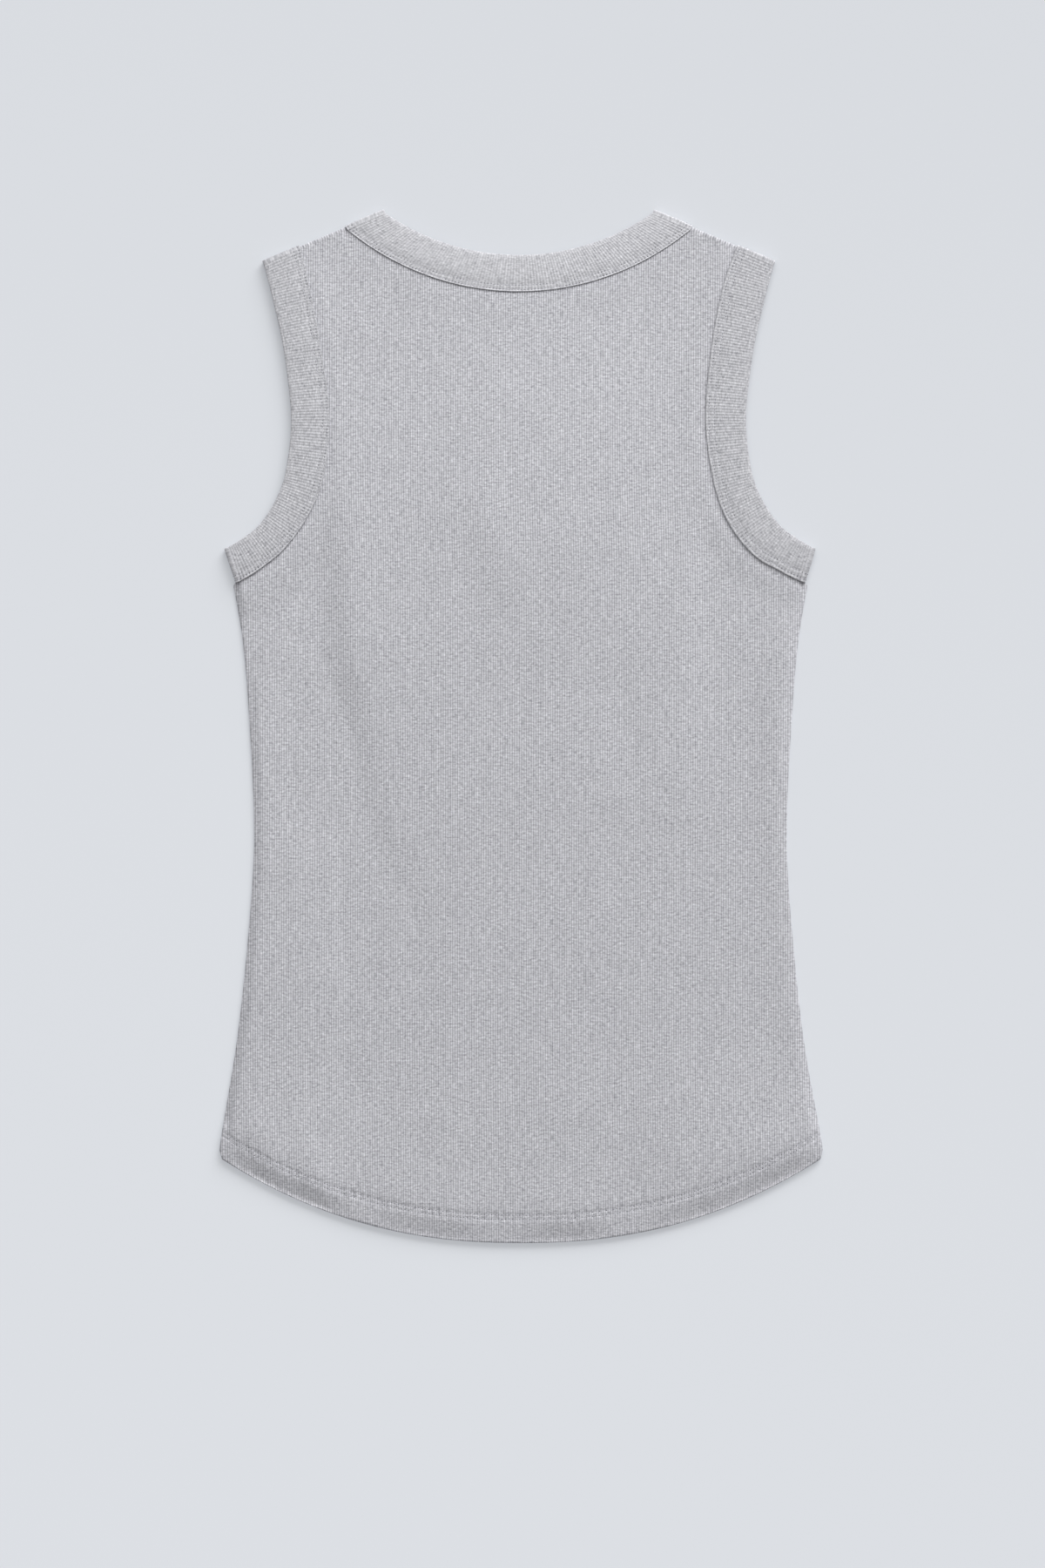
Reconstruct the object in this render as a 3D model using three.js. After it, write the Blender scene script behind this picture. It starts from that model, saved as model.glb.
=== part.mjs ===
// A fitted sleeveless rib-knit top laid out flat, back side up. Millimetres, +Y to the neck, +Z up.
// Every plan point is worked out as (half, y): half is the distance from the garment's own middle line.
import * as THREE from "three";

// Cloth and how its layers lie
const cloth = { thickness: 1.0, gap: 0.3 };
const binding = { thickness: 2.7, corner: 0.8, seamGap: 0.4 };
const hem = { depth: 18, thickness: 2.0, sag: 52.8, roundness: 2.27, release: 9 };
const puff = { reach: 10, underarmReach: 12, hemReach: 95, atHem: 0.3 };
const bandRise = { reach: 30, inner: 1.0 };
const edgeRounding = { width: 1.2, leftAtEdge: 0.4 };
const foldAxisZ = binding.thickness + cloth.gap / 2;
const foldRadius = foldAxisZ;
const restLevel = cloth.thickness + cloth.gap;
const outlineMiddle = 0.04;

// Shoulder seam: a straight fold line from the neck corner to the shoulder tip
const shoulder = {
  neckCorner: new THREE.Vector2(85.2, 326.2),
  tip: new THREE.Vector2(162, 293.7),
  rise: 25,
};
shoulder.towardsNeck = shoulder.neckCorner.clone().sub(shoulder.tip).normalize();
shoulder.outward = new THREE.Vector2(shoulder.towardsNeck.y, -shoulder.towardsNeck.x);

// Underarm: the armhole binding folds over the side seam on a slanted line
const underarm = { intoBody: new THREE.Vector2(-0.31, -0.951).normalize(), seamDrop: 2 };
underarm.outward = new THREE.Vector2(-underarm.intoBody.y, underarm.intoBody.x);

// Neck: the back opening is a shallow arc, the hidden front one a deep scoop
const neck = { backOpeningY: 297.3, backSeamY: 274.1, width: 26.4, frontOpeningY: 134, frontSeamY: 111 };

// Half width of the body at each level, from the hem corner to the underarm
const sideLevels = [
  { y: -273, half: 188.8 },
  { y: -268.4, half: 190.6 },
  { y: -201.3, half: 179.3 },
  { y: -135, half: 172 },
  { y: -69.3, half: 168 },
  { y: 18.7, half: 172.1 },
  { y: 62.7, half: 176.3 },
  { y: 91, half: 181.6 },
];

// Armhole opening edge from the shoulder tip to the underarm, with the width of each binding there
const armholeStations = [
  { half: 162, y: 293.7, left: 25.3, right: 25.9 },
  { half: 155.1, y: 269, left: 24.5, right: 27.5 },
  { half: 148, y: 236, left: 23.5, right: 26.5 },
  { half: 143.5, y: 194.7, left: 24.4, right: 25.6 },
  { half: 146.8, y: 161.7, left: 24, right: 25 },
  { half: 153.8, y: 142.4, left: 22.6, right: 26 },
  { half: 164.3, y: 127, left: 21.7, right: 25.5 },
  { half: 174.6, y: 118.8, left: 22, right: 23.5 },
  { half: 186.7, y: 112.2, left: 22.8, right: 22.8 },
];

// The hidden front: a deeper armhole, and edges set back so that none shows past the back
const hidden = { armholeScoop: 6, sideSetBack: 0.3, hemSetBack: 2 };

// Where the middle of each level lies, because the top was laid out by hand
const middleLevels = [
  { y: -273, x: 0 },
  { y: -200, x: -0.5 },
  { y: 90, x: -0.5 },
  { y: 165, x: -1.6 },
  { y: 330, x: -1.4 },
];

// How high the middle of the back lies over the front at each level
const puffLevels = [
  { y: -320, height: 0.9 },
  { y: -130, height: 0.9 },
  { y: -80, height: 1.3 },
  { y: -36, height: 2.1 },
  { y: 40, height: 3.0 },
  { y: 130, height: 2.8 },
  { y: 220, height: 1.8 },
];

// How much lower each side of the back lies than its middle, and between which distances the slope runs
const leftFlank = [
  { y: -260, drop: 0.3, outer: 86, inner: 26 },
  { y: -124, drop: 0.8, outer: 94, inner: 50 },
  { y: -36, drop: 1.9, outer: 110, inner: 81 },
  { y: 41, drop: 2.8, outer: 127, inner: 101 },
  { y: 107, drop: 2.5, outer: 132, inner: 107 },
  { y: 140, drop: 1.3, outer: 134, inner: 106 },
  { y: 185, drop: 0, outer: 135, inner: 105 },
];
const rightFlank = [
  { y: -260, drop: 0.4, outer: 150, inner: 70 },
  { y: -120, drop: 0.6, outer: 149, inner: 73 },
  { y: -36, drop: 1.3, outer: 135, inner: 80 },
  { y: 8, drop: 1.7, outer: 122, inner: 96 },
  { y: 107, drop: 1.8, outer: 122, inner: 100 },
  { y: 180, drop: 0, outer: 124, inner: 98 },
];

// The largest soft folds of the back, each a line of plan points with a half width and a height
const folds = [
  { line: [[-110, 0], [-108, -36], [-103, -80], [-97, -120], [-88, -245]], width: 24, height: -1.3 },
  { line: [[-155, 50], [-165, -36], [-164, -90]], width: 14, height: 1.2 },
  { line: [[-124, -50], [-121, -85], [-119, -160], [-124, -215]], width: 18, height: 1.3 },
  { line: [[-168, -90], [-168, -165], [-166, -262]], width: 18, height: 1.2 },
  { line: [[163, 70], [160, 0], [164, -120]], width: 10, height: 0.9 },
  { line: [[14, 240], [18, 205], [20, 120], [14, 50]], width: 60, height: 2.0 },
  { line: [[80, -266], [100, -264], [140, -258], [175, -242]], width: 24, height: 1.1 },
];

// How finely each piece is divided
const counts = { bodyRows: 9, columns: 9, foldSteps: 3 };
const backArmSteps = { strap: 8, below: 10 };
const frontArmSteps = { strap: 14, below: 5 };
const forkShare = { back: 0.25, front: 0.8 };
const endBlend = 0.12;
const middleBelowNeck = { back: 190, front: 40 };
const bottomRows = [0, 6, 12, 18, 27];

const clamp01 = (value) => Math.min(1, Math.max(0, value));
const smooth = (value) => clamp01(value) ** 2 * (3 - 2 * clamp01(value));
const lerp = (from, to, share) => from + (to - from) * share;
const range = (count, make) => Array.from({ length: count }, (_, i) => make(i));

// Reads a column of a table at a level between its rows, on a smooth curve through them.
function readTable(rows, y, column) {
  const last = rows.length - 1;
  const at = Math.min(last - 1, Math.max(0, rows.findIndex((row) => row.y > y) - 1));
  const found = y >= rows[last].y ? last - 1 : at;
  const slope = (i) => {
    const low = rows[Math.max(0, i - 1)];
    const high = rows[Math.min(last, i + 1)];
    return (high[column] - low[column]) / (high.y - low.y);
  };
  const low = rows[found];
  const high = rows[found + 1];
  const span = high.y - low.y;
  const s = clamp01((y - low.y) / span);
  return (
    (2 * s ** 3 - 3 * s ** 2 + 1) * low[column] +
    (s ** 3 - 2 * s ** 2 + s) * span * slope(found) +
    (3 * s ** 2 - 2 * s ** 3) * high[column] +
    (s ** 3 - s ** 2) * span * slope(found + 1)
  );
}

const sideHalf = (y) => readTable(sideLevels, y, "half");
const hemCornerY = sideLevels[0].y;
const underarmY = sideLevels.at(-1).y;

// The hem's lower edge at a distance from the middle given as a share of the half width.
function hemEdgeY(share) {
  return hemCornerY - hem.sag * (1 - share ** hem.roundness);
}

// Turns (half, y) on one side of the middle line into the part's own x and y.
function place(side, point) {
  const middle = readTable(middleLevels, point.y, "x");
  return new THREE.Vector2(middle + side * point.x, point.y - outlineMiddle);
}

// The armhole's opening edge, moved in by one fold radius where it turns over at both ends.
const armholeEdge = new THREE.SplineCurve(
  armholeStations.map((row, i) => {
    const point = new THREE.Vector2(row.half, row.y);
    if (i === 0) point.addScaledVector(shoulder.outward, -foldRadius);
    if (i === armholeStations.length - 1) point.addScaledVector(underarm.outward, -foldRadius);
    return point;
  }),
);
const armbandWidths = new THREE.SplineCurve(
  armholeStations.map((row) => new THREE.Vector2(row.left, row.right)),
);

// One section of an armhole binding: its opening edge, its inner edge and the way across it.
function armbandSection(side, isFront, share) {
  const edge = armholeEdge.getPoint(share);
  const along = armholeEdge.getTangent(share);
  const across = new THREE.Vector2(along.y, -along.x);
  across.lerp(shoulder.towardsNeck, smooth(1 - share / endBlend));
  across.lerp(underarm.intoBody, smooth(1 - (1 - share) / endBlend)).normalize();
  if (isFront) edge.addScaledVector(across, hidden.armholeScoop * Math.sin(Math.PI * share) ** 2);
  const width = armbandWidths.getPoint(share)[side < 0 ? "x" : "y"];
  return { edge, across, seam: edge.clone().addScaledVector(across, width) };
}

// An arc that leaves the middle line level at one height and ends at a point, by share of its angle.
function risingArc(bottomY, end) {
  const lift = end.y - bottomY;
  const radius = (end.x ** 2 + lift ** 2) / (2 * lift);
  const angle = Math.asin(end.x / radius);
  return (share) =>
    new THREE.Vector2(
      radius * Math.sin(angle * share),
      bottomY + radius * (1 - Math.cos(angle * share)),
    );
}

// A quarter ellipse from the middle line up to a point where it is upright.
function scoopArc(bottomY, end) {
  return (share) =>
    new THREE.Vector2(
      end.x * Math.sin((share * Math.PI) / 2),
      lerp(end.y, bottomY, Math.cos((share * Math.PI) / 2)),
    );
}

const neckFold = shoulder.neckCorner.clone().addScaledVector(shoulder.outward, -foldRadius);
const neckSeamFold = neckFold.clone().addScaledVector(shoulder.towardsNeck, -neck.width);
const neckArcs = {
  back: {
    opening: risingArc(neck.backOpeningY, neckFold),
    seam: risingArc(neck.backSeamY, neckSeamFold),
  },
  front: {
    opening: scoopArc(neck.frontOpeningY, neckFold),
    seam: scoopArc(neck.frontSeamY, neckSeamFold),
  },
};

// Distance from a plan point to a line of points.
function distanceTo(path, point) {
  let least = Infinity;
  for (let i = 1; i < path.length; i++) {
    const from = path[i - 1];
    const run = path[i].clone().sub(from);
    const share = clamp01(point.clone().sub(from).dot(run) / run.lengthSq());
    least = Math.min(least, point.distanceTo(from.clone().addScaledVector(run, share)));
  }
  return least;
}

const pathSteps = 24;
const seamPath = (side, isFront) =>
  range(pathSteps + 1, (i) => armbandSection(side, isFront, i / pathSteps).seam);
const backArmPaths = { "-1": seamPath(-1, false), 1: seamPath(1, false) };
const backNeckPath = range(pathSteps + 1, (i) => neckArcs.back.seam(i / pathSteps));
const foldPaths = folds.map((fold) => ({
  ...fold,
  path: fold.line.map(([x, y]) => new THREE.Vector2(x, y)),
}));

const aboveHem = (point) => point.y - hemEdgeY(clamp01(point.x / sideHalf(point.y)));

// How much of the turned-up hem's second layer thickens the cloth at a point.
const hemShare = (point) => 1 - smooth((aboveHem(point) - hem.depth) / hem.release);

// How much of the height inside the body is left near the side seams.
function taperAt(point) {
  const toSide = sideHalf(Math.min(point.y, underarmY)) - point.x;
  const beyondUnderarm = smooth((point.y - underarmY) / puff.underarmReach);
  return lerp(smooth(toSide / puff.reach), 1, beyondUnderarm);
}

// The air between the layers, before the side seams press it flat.
function airAt(side, point) {
  const rows = side < 0 ? leftFlank : rightFlank;
  const [drop, outer, inner] = ["drop", "outer", "inner"].map((key) => readTable(rows, point.y, key));
  const flank = drop * (1 - smooth((outer - point.x) / (outer - inner)));
  const levelWithHem = puff.atHem + 2 * (hem.thickness - cloth.thickness);
  const nearHem = smooth((aboveHem(point) - hem.depth) / puff.hemReach);
  const inside = lerp(levelWithHem, readTable(puffLevels, point.y, "height") - flank, nearHem);
  return lerp(inside, puff.atHem, hemShare(point));
}

// The back's underside: flat on the front at the side seams, puffed inside, raised at the bindings.
function backUnderside(side, point) {
  const taper = taperAt(point);
  const toBand = Math.min(distanceTo(backArmPaths[side], point), distanceTo(backNeckPath, point));
  const atBand = foldAxisZ + bandRise.inner - restLevel;
  const raised = atBand * smooth(1 - toBand / bandRise.reach);
  const rise = taper * Math.cbrt(airAt(side, point) ** 3 + raised ** 3);
  const folded = foldPaths.reduce((sum, fold) => {
    const away = distanceTo(fold.path, new THREE.Vector2(side * point.x, point.y)) / fold.width;
    return sum + fold.height * Math.exp(-(away ** 2));
  }, 0);
  const slack = taper * smooth((3 * toBand) / bandRise.reach) * smooth(aboveHem(point) / hem.depth);
  const doubled = (hem.thickness - cloth.thickness) * hemShare(point);
  return restLevel + doubled + Math.max(0, rise + folded * slack);
}

// The front's outer face lies on the surface and lifts only towards the shoulder seam.
function frontUnderside(point) {
  const toSeam = foldRadius - point.clone().sub(shoulder.tip).dot(shoulder.outward);
  const lift = foldAxisZ - bandRise.inner - cloth.thickness;
  return lift * smooth(1 - (toSeam - 2 * foldRadius) / shoulder.rise);
}

const thicknessAt = (point) => lerp(cloth.thickness, hem.thickness, hemShare(point));

// What the rounded side edge takes off the outer face at a distance from the edge.
function edgeLoss(distance, thickness) {
  const share = clamp01(distance / edgeRounding.width);
  return (thickness - edgeRounding.leftAtEdge) * (1 - Math.sqrt(1 - (1 - share) ** 2));
}

// The rows of one half of a panel, each from its outer edge to the middle line or the neck edge.
function panelRows(side, isFront) {
  const arcs = isFront ? neckArcs.front : neckArcs.back;
  const steps = isFront ? frontArmSteps : backArmSteps;
  const fork = isFront ? forkShare.front : forkShare.back;
  const beside = (share) => {
    const { seam, across } = armbandSection(side, isFront, share);
    return seam.addScaledVector(across, binding.seamGap);
  };
  const neckEdge = (share) => {
    const seam = arcs.seam(share);
    const next = arcs.seam(share + 0.01).sub(arcs.seam(share - 0.01)).normalize();
    return seam.add(new THREE.Vector2(next.y, -next.x).multiplyScalar(binding.seamGap));
  };
  const forkMiddle = new THREE.Vector2(0, arcs.seam(0).y - binding.seamGap);
  const hemShares = bottomRows.map((height) => height / (underarmY - hemCornerY));
  const bodyShares = [
    ...hemShares,
    ...range(counts.bodyRows, (i) => lerp(hemShares.at(-1), 1, (i + 1) / counts.bodyRows)),
  ];
  const middleAtUnderarm = forkMiddle.y - (isFront ? middleBelowNeck.front : middleBelowNeck.back);
  const sideTop = underarmY - underarm.seamDrop;
  const rows = bodyShares.map((share) => {
    const half = sideHalf(lerp(hemCornerY, sideTop, share)) - (isFront ? hidden.sideSetBack : 0);
    const setBack = isFront && share === 0 ? hidden.hemSetBack : 0;
    const point = (u) => {
      const top = lerp(sideTop, middleAtUnderarm, u);
      return new THREE.Vector2((1 - u) * half, lerp(hemEdgeY(1 - u) + setBack, top, share));
    };
    return { point, length: half, shared: true, atSide: true };
  });
  const straight = (from, to, shared) => ({
    point: (u) => from.clone().lerp(to, u),
    length: from.distanceTo(to),
    shared,
  });
  for (let i = 0; i <= steps.below; i++) {
    const middleY = lerp(middleAtUnderarm, forkMiddle.y, (i + 1) / (steps.below + 1));
    rows.push(straight(beside(lerp(1, fork, i / steps.below)), new THREE.Vector2(0, middleY), true));
  }
  for (let i = 1; i <= steps.strap; i++) {
    const share = i / steps.strap;
    rows.push(straight(beside(fork * (1 - share)), neckEdge(share), false));
  }
  const onAxis = rows.at(-1);
  for (let i = 1; i <= counts.foldSteps; i++) rows.push({ ...onAxis, turn: i / counts.foldSteps });
  onAxis.turn = 0;
  return rows;
}

// The outer and inner points of the cloth at one place of a row.
function clothAt(side, isFront, row, u) {
  const point = row.point(u);
  if (row.turn !== undefined) {
    const inner = bandRise.inner;
    const [outer, under] = [inner + cloth.thickness, inner].map((radius) => {
      const angle = row.turn * Math.acos(cloth.gap / 2 / radius);
      const plan = place(side, point.clone().addScaledVector(shoulder.outward, radius * Math.sin(angle)));
      const up = isFront ? -1 : 1;
      return new THREE.Vector3(plan.x, plan.y, foldAxisZ + up * radius * Math.cos(angle));
    });
    return isFront ? [under, outer] : [outer, under];
  }
  const plan = place(side, point);
  const thickness = thicknessAt(point);
  const loss = row.atSide ? edgeLoss(u * row.length, thickness) : 0;
  const low = isFront ? frontUnderside(point) : backUnderside(side, point);
  const [upper, lower] = isFront ? [low + thickness, low + loss] : [low + thickness - loss, low];
  return [new THREE.Vector3(plan.x, plan.y, upper), new THREE.Vector3(plan.x, plan.y, lower)];
}

// A closed wall between an upper and a lower sheet of points that share one set of triangles.
function wallBetween(points, triangles) {
  const count = points.length;
  const edges = new Map();
  const index = [];
  for (const [a, b, c] of triangles) {
    index.push(a, b, c, count + a, count + c, count + b);
    for (const [from, to] of [[a, b], [b, c], [c, a]]) {
      if (!edges.delete(`${to},${from}`)) edges.set(`${from},${to}`, [from, to]);
    }
  }
  for (const [from, to] of edges.values()) {
    index.push(to, from, count + from, to, count + from, count + to);
  }
  const all = [...points.map(([upper]) => upper), ...points.map(([, lower]) => lower)];
  return new THREE.BufferGeometry().setFromPoints(all).setIndex(index);
}

// A front or back panel: both halves of its rows, joined along the middle line below the neck.
function panelGeometry(isFront) {
  const points = [];
  const triangles = [];
  const middleIds = new Map();
  for (const side of [-1, 1]) {
    const ids = panelRows(side, isFront).map((row, rowIndex) => {
      const nearEdge = [0, 1 / 3, 1].map((share) => (share * edgeRounding.width) / row.length);
      const inner = range(counts.columns, (i) => lerp(nearEdge[2], 1, (i + 1) / counts.columns));
      return [...nearEdge, ...inner].map((u) => {
        const isMiddle = u === 1 && row.shared;
        if (isMiddle && middleIds.has(rowIndex)) return middleIds.get(rowIndex);
        const id = points.push(clothAt(side, isFront, row, u)) - 1;
        if (isMiddle) middleIds.set(rowIndex, id);
        return id;
      });
    });
    for (let r = 1; r < ids.length; r++) {
      for (let c = 1; c < ids[r].length; c++) {
        const corners = [ids[r - 1][c - 1], ids[r - 1][c], ids[r][c], ids[r][c - 1]];
        const [p, q, s, t] = side < 0 ? corners : corners.reverse();
        triangles.push([p, q, s], [p, s, t]);
      }
    }
  }
  return wallBetween(points, triangles);
}

// The outline of a binding across its width: share of the width, height above its inner face.
function bindingProfile(width) {
  const cut = binding.corner / width;
  const low = binding.corner;
  const high = binding.thickness - binding.corner;
  return [
    [0, low], [0, high], [cut, binding.thickness], [1 - cut, binding.thickness],
    [1, high], [1, low], [1 - cut, 0], [cut, 0],
  ];
}

// A ring of sections round an opening: over the back, through a fold, along the front and back again.
function loopGeometry(sections) {
  const points = [];
  for (const { edge, seam, angle, outward } of sections) {
    for (const [share, height] of bindingProfile(edge.distanceTo(seam))) {
      const radius = cloth.gap / 2 + height;
      const plan = edge.clone().lerp(seam, share).addScaledVector(outward, radius * Math.sin(angle));
      points.push(new THREE.Vector3(plan.x, plan.y, foldAxisZ + radius * Math.cos(angle)));
    }
  }
  const around = points.length / sections.length;
  const index = [];
  sections.forEach((_, s) => {
    const next = (s + 1) % sections.length;
    for (let i = 0; i < around; i++) {
      const j = (i + 1) % around;
      const [a, b, c, d] = [s * around + i, s * around + j, next * around + j, next * around + i];
      index.push(a, b, c, a, c, d);
    }
  });
  return new THREE.BufferGeometry().setFromPoints(points).setIndex(index);
}

// Sections through a fold that starts at one flat section and lands on its mirror below.
function foldSections(section, outward, isRising) {
  return range(counts.foldSteps, (i) => {
    const turned = (Math.PI * (i + 1)) / (counts.foldSteps + 1);
    return { ...section, outward, angle: isRising ? Math.PI - turned : turned };
  });
}

const flat = { outward: new THREE.Vector2() };

function armbandGeometry(side) {
  const placed = (share, isFront) => {
    const { edge, seam } = armbandSection(side, isFront, share);
    return { edge: place(side, edge), seam: place(side, seam), ...flat, angle: isFront ? Math.PI : 0 };
  };
  const shares = (steps, fork) => [
    ...range(steps.below, (i) => lerp(1, fork, i / steps.below)),
    ...range(steps.strap + 1, (i) => fork * (1 - i / steps.strap)),
  ];
  const back = shares(backArmSteps, forkShare.back).map((share) => placed(share, false));
  const front = shares(frontArmSteps, forkShare.front).map((share) => placed(share, true)).reverse();
  const turn = (outward) => new THREE.Vector2(side * outward.x, outward.y);
  const sections = [
    ...back,
    ...foldSections(back.at(-1), turn(shoulder.outward), false),
    ...front,
    ...foldSections(front.at(-1), turn(underarm.outward), true),
  ];
  return loopGeometry(side < 0 ? sections : sections.reverse());
}

function neckbandGeometry() {
  const placed = (side, isFront, share) => {
    const arcs = isFront ? neckArcs.front : neckArcs.back;
    const [edge, seam] = [arcs.opening(share), arcs.seam(share)];
    return { edge: place(side, edge), seam: place(side, seam), ...flat, angle: isFront ? Math.PI : 0 };
  };
  const backHalf = (side) =>
    range(backArmSteps.strap + 1, (i) => placed(side, false, i / backArmSteps.strap));
  const frontHalf = (side) =>
    range(frontArmSteps.strap + 1, (i) => placed(side, true, i / frontArmSteps.strap));
  const turn = (side) => new THREE.Vector2(side * shoulder.outward.x, shoulder.outward.y);
  const back = [...backHalf(-1).reverse(), ...backHalf(1).slice(1)];
  const front = [...frontHalf(1).reverse(), ...frontHalf(-1).slice(1)];
  return loopGeometry([
    ...back,
    ...foldSections(back.at(-1), turn(1), false),
    ...front,
    ...foldSections(front.at(-1), turn(-1), true),
  ]);
}

const bodyRib = new THREE.MeshStandardMaterial({ color: 0xb9b9bf, roughness: 0.95, metalness: 0 });
const bindingRib = new THREE.MeshStandardMaterial({ color: 0xc1c1c6, roughness: 0.95, metalness: 0 });

function piece(name, geometry, material) {
  geometry.computeVertexNormals();
  const mesh = new THREE.Mesh(geometry, material);
  mesh.name = name;
  return mesh;
}

const tankTop = new THREE.Group();
tankTop.add(
  piece("back_panel", panelGeometry(false), bodyRib),
  piece("front_panel", panelGeometry(true), bodyRib),
  piece("neckband", neckbandGeometry(), bindingRib),
  piece("armband_left", armbandGeometry(-1), bindingRib),
  piece("armband_right", armbandGeometry(1), bindingRib),
);

export default tankTop;
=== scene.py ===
"""Looks of a rib-knit tank top that lies flat, back side up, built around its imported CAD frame.

Sizes in the classes are millimetres, as a pattern maker writes them, and every mesh is made in metres.
A plan place is (half, y): half is the signed distance from the garment's own middle line, left below 0.
"""

import logging
import math
from dataclasses import dataclass, field
from enum import Enum
from typing import NamedTuple, Sequence

import bpy
import numpy as np
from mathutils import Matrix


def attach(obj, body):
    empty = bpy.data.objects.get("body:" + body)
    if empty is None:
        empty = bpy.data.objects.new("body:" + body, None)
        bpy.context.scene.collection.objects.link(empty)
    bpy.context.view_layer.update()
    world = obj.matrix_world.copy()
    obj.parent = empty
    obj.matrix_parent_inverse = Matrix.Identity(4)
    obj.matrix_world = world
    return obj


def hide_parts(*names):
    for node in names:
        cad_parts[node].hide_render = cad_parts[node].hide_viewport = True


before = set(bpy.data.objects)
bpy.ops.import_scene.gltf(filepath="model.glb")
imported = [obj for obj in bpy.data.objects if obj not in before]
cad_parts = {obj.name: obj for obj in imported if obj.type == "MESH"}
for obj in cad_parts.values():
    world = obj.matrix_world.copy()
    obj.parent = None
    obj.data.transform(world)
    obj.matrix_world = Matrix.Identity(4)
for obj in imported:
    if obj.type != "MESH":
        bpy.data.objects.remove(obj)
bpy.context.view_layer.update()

MM = 0.001
KNIT_MAP = "knit"

log = logging.getLogger("tank_top")


class Side(Enum):
    """Which half of the garment, as seen from above."""

    LEFT = -1
    RIGHT = 1


class Face(Enum):
    """Which of the two layers: the back lies on top."""

    BACK = 1
    FRONT = -1


# Shared arithmetic


def smooth(value: np.ndarray | float) -> np.ndarray:
    """A soft step from 0 at 0 to 1 at 1."""
    held = np.clip(value, 0.0, 1.0)
    return held * held * (3 - 2 * held)


def mix(start: np.ndarray | float, end: np.ndarray | float, share: np.ndarray | float) -> np.ndarray:
    """The value that lies at a share of the way from start to end."""
    return start + (end - start) * share


def unit(vectors: np.ndarray) -> np.ndarray:
    """Vectors along the last axis, each made one long."""
    return vectors / np.linalg.norm(vectors, axis=-1, keepdims=True)


def nearest_on(path: np.ndarray, points: np.ndarray) -> tuple[np.ndarray, np.ndarray]:
    """Finds how far points lie from a line of points.

    Args:
        path: The line's points, (n, 2).
        points: The points to measure, (m, 2).

    Returns:
        The distance of each point, and how far along the line its nearest place is, from 0 to 1.
    """
    runs = np.diff(path, axis=0)
    lengths = np.linalg.norm(runs, axis=1)
    starts = np.concatenate([[0.0], np.cumsum(lengths)])
    least = np.full(len(points), np.inf)
    along = np.zeros(len(points))
    for start, run, length, passed in zip(path, runs, lengths, starts):
        share = np.clip((points - start) @ run / length**2, 0, 1)
        away = np.linalg.norm(points - start - share[:, None] * run, axis=1)
        closer = away < least
        least[closer] = away[closer]
        along[closer] = (passed + share[closer] * length) / starts[-1]
    return least, along


class LevelCurve:
    """A size that changes with the level, read on a smooth curve through a short table."""

    def __init__(self, rows: Sequence[tuple[float, float]]) -> None:
        """Keeps the rows of (level, size), from the lowest level up."""
        self.levels, self.sizes = np.array(rows, float).T
        low = np.maximum(np.arange(len(rows)) - 1, 0)
        high = np.minimum(np.arange(len(rows)) + 1, len(rows) - 1)
        self.slopes = (self.sizes[high] - self.sizes[low]) / (self.levels[high] - self.levels[low])

    def __call__(self, level: np.ndarray | float) -> np.ndarray:
        """The size at each level; past the table's ends it keeps the end's size."""
        level = np.clip(level, self.levels[0], self.levels[-1])
        row = np.clip(np.searchsorted(self.levels, level, side="right") - 1, 0, len(self.levels) - 2)
        span = self.levels[row + 1] - self.levels[row]
        s = (level - self.levels[row]) / span
        return (
            (2 * s**3 - 3 * s**2 + 1) * self.sizes[row]
            + (s**3 - 2 * s**2 + s) * span * self.slopes[row]
            + (3 * s**2 - 2 * s**3) * self.sizes[row + 1]
            + (s**3 - s**2) * span * self.slopes[row + 1]
        )


class SplinePath:
    """A smooth curve through points, each stretch between two of them an equal share of it."""

    def __init__(self, points: Sequence[Sequence[float]]) -> None:
        """Keeps the points, in order."""
        self.points = np.array(points, float)

    def at(self, share: np.ndarray) -> np.ndarray:
        """The places at shares from 0 to 1 of the curve."""
        last = len(self.points) - 1
        place = np.clip(share, 0, 1) * last
        row = np.minimum(place.astype(int), last - 1)
        t = (place - row)[:, None]
        before, start = self.points[np.maximum(row - 1, 0)], self.points[row]
        end, after = self.points[row + 1], self.points[np.minimum(row + 2, last)]
        leaving, arriving = (end - before) / 2, (after - start) / 2
        return (
            (2 * start - 2 * end + leaving + arriving) * t**3
            + (3 * end - 3 * start - 2 * leaving - arriving) * t**2
            + leaving * t
            + start
        )

    def direction(self, share: np.ndarray) -> np.ndarray:
        """The way that the curve runs at shares from 0 to 1."""
        step = 1e-4
        return unit(self.at(np.minimum(share + step, 1)) - self.at(np.maximum(share - step, 0)))


def pressed(turn: np.ndarray) -> tuple[np.ndarray, np.ndarray]:
    """How far out and how far up a pressed fold is at a turn: flatter than a circle, with a tighter edge."""
    out, up = np.sin(turn), np.cos(turn)
    return np.sign(out) * np.sqrt(np.abs(out)), np.sign(up) * np.sqrt(np.abs(up))


# The cut of the garment, as the CAD part has it


class ArmholeStation(NamedTuple):
    """A place on an armhole's opening edge, with the width of each side's binding there."""

    half: float
    y: float
    left: float
    right: float


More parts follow.
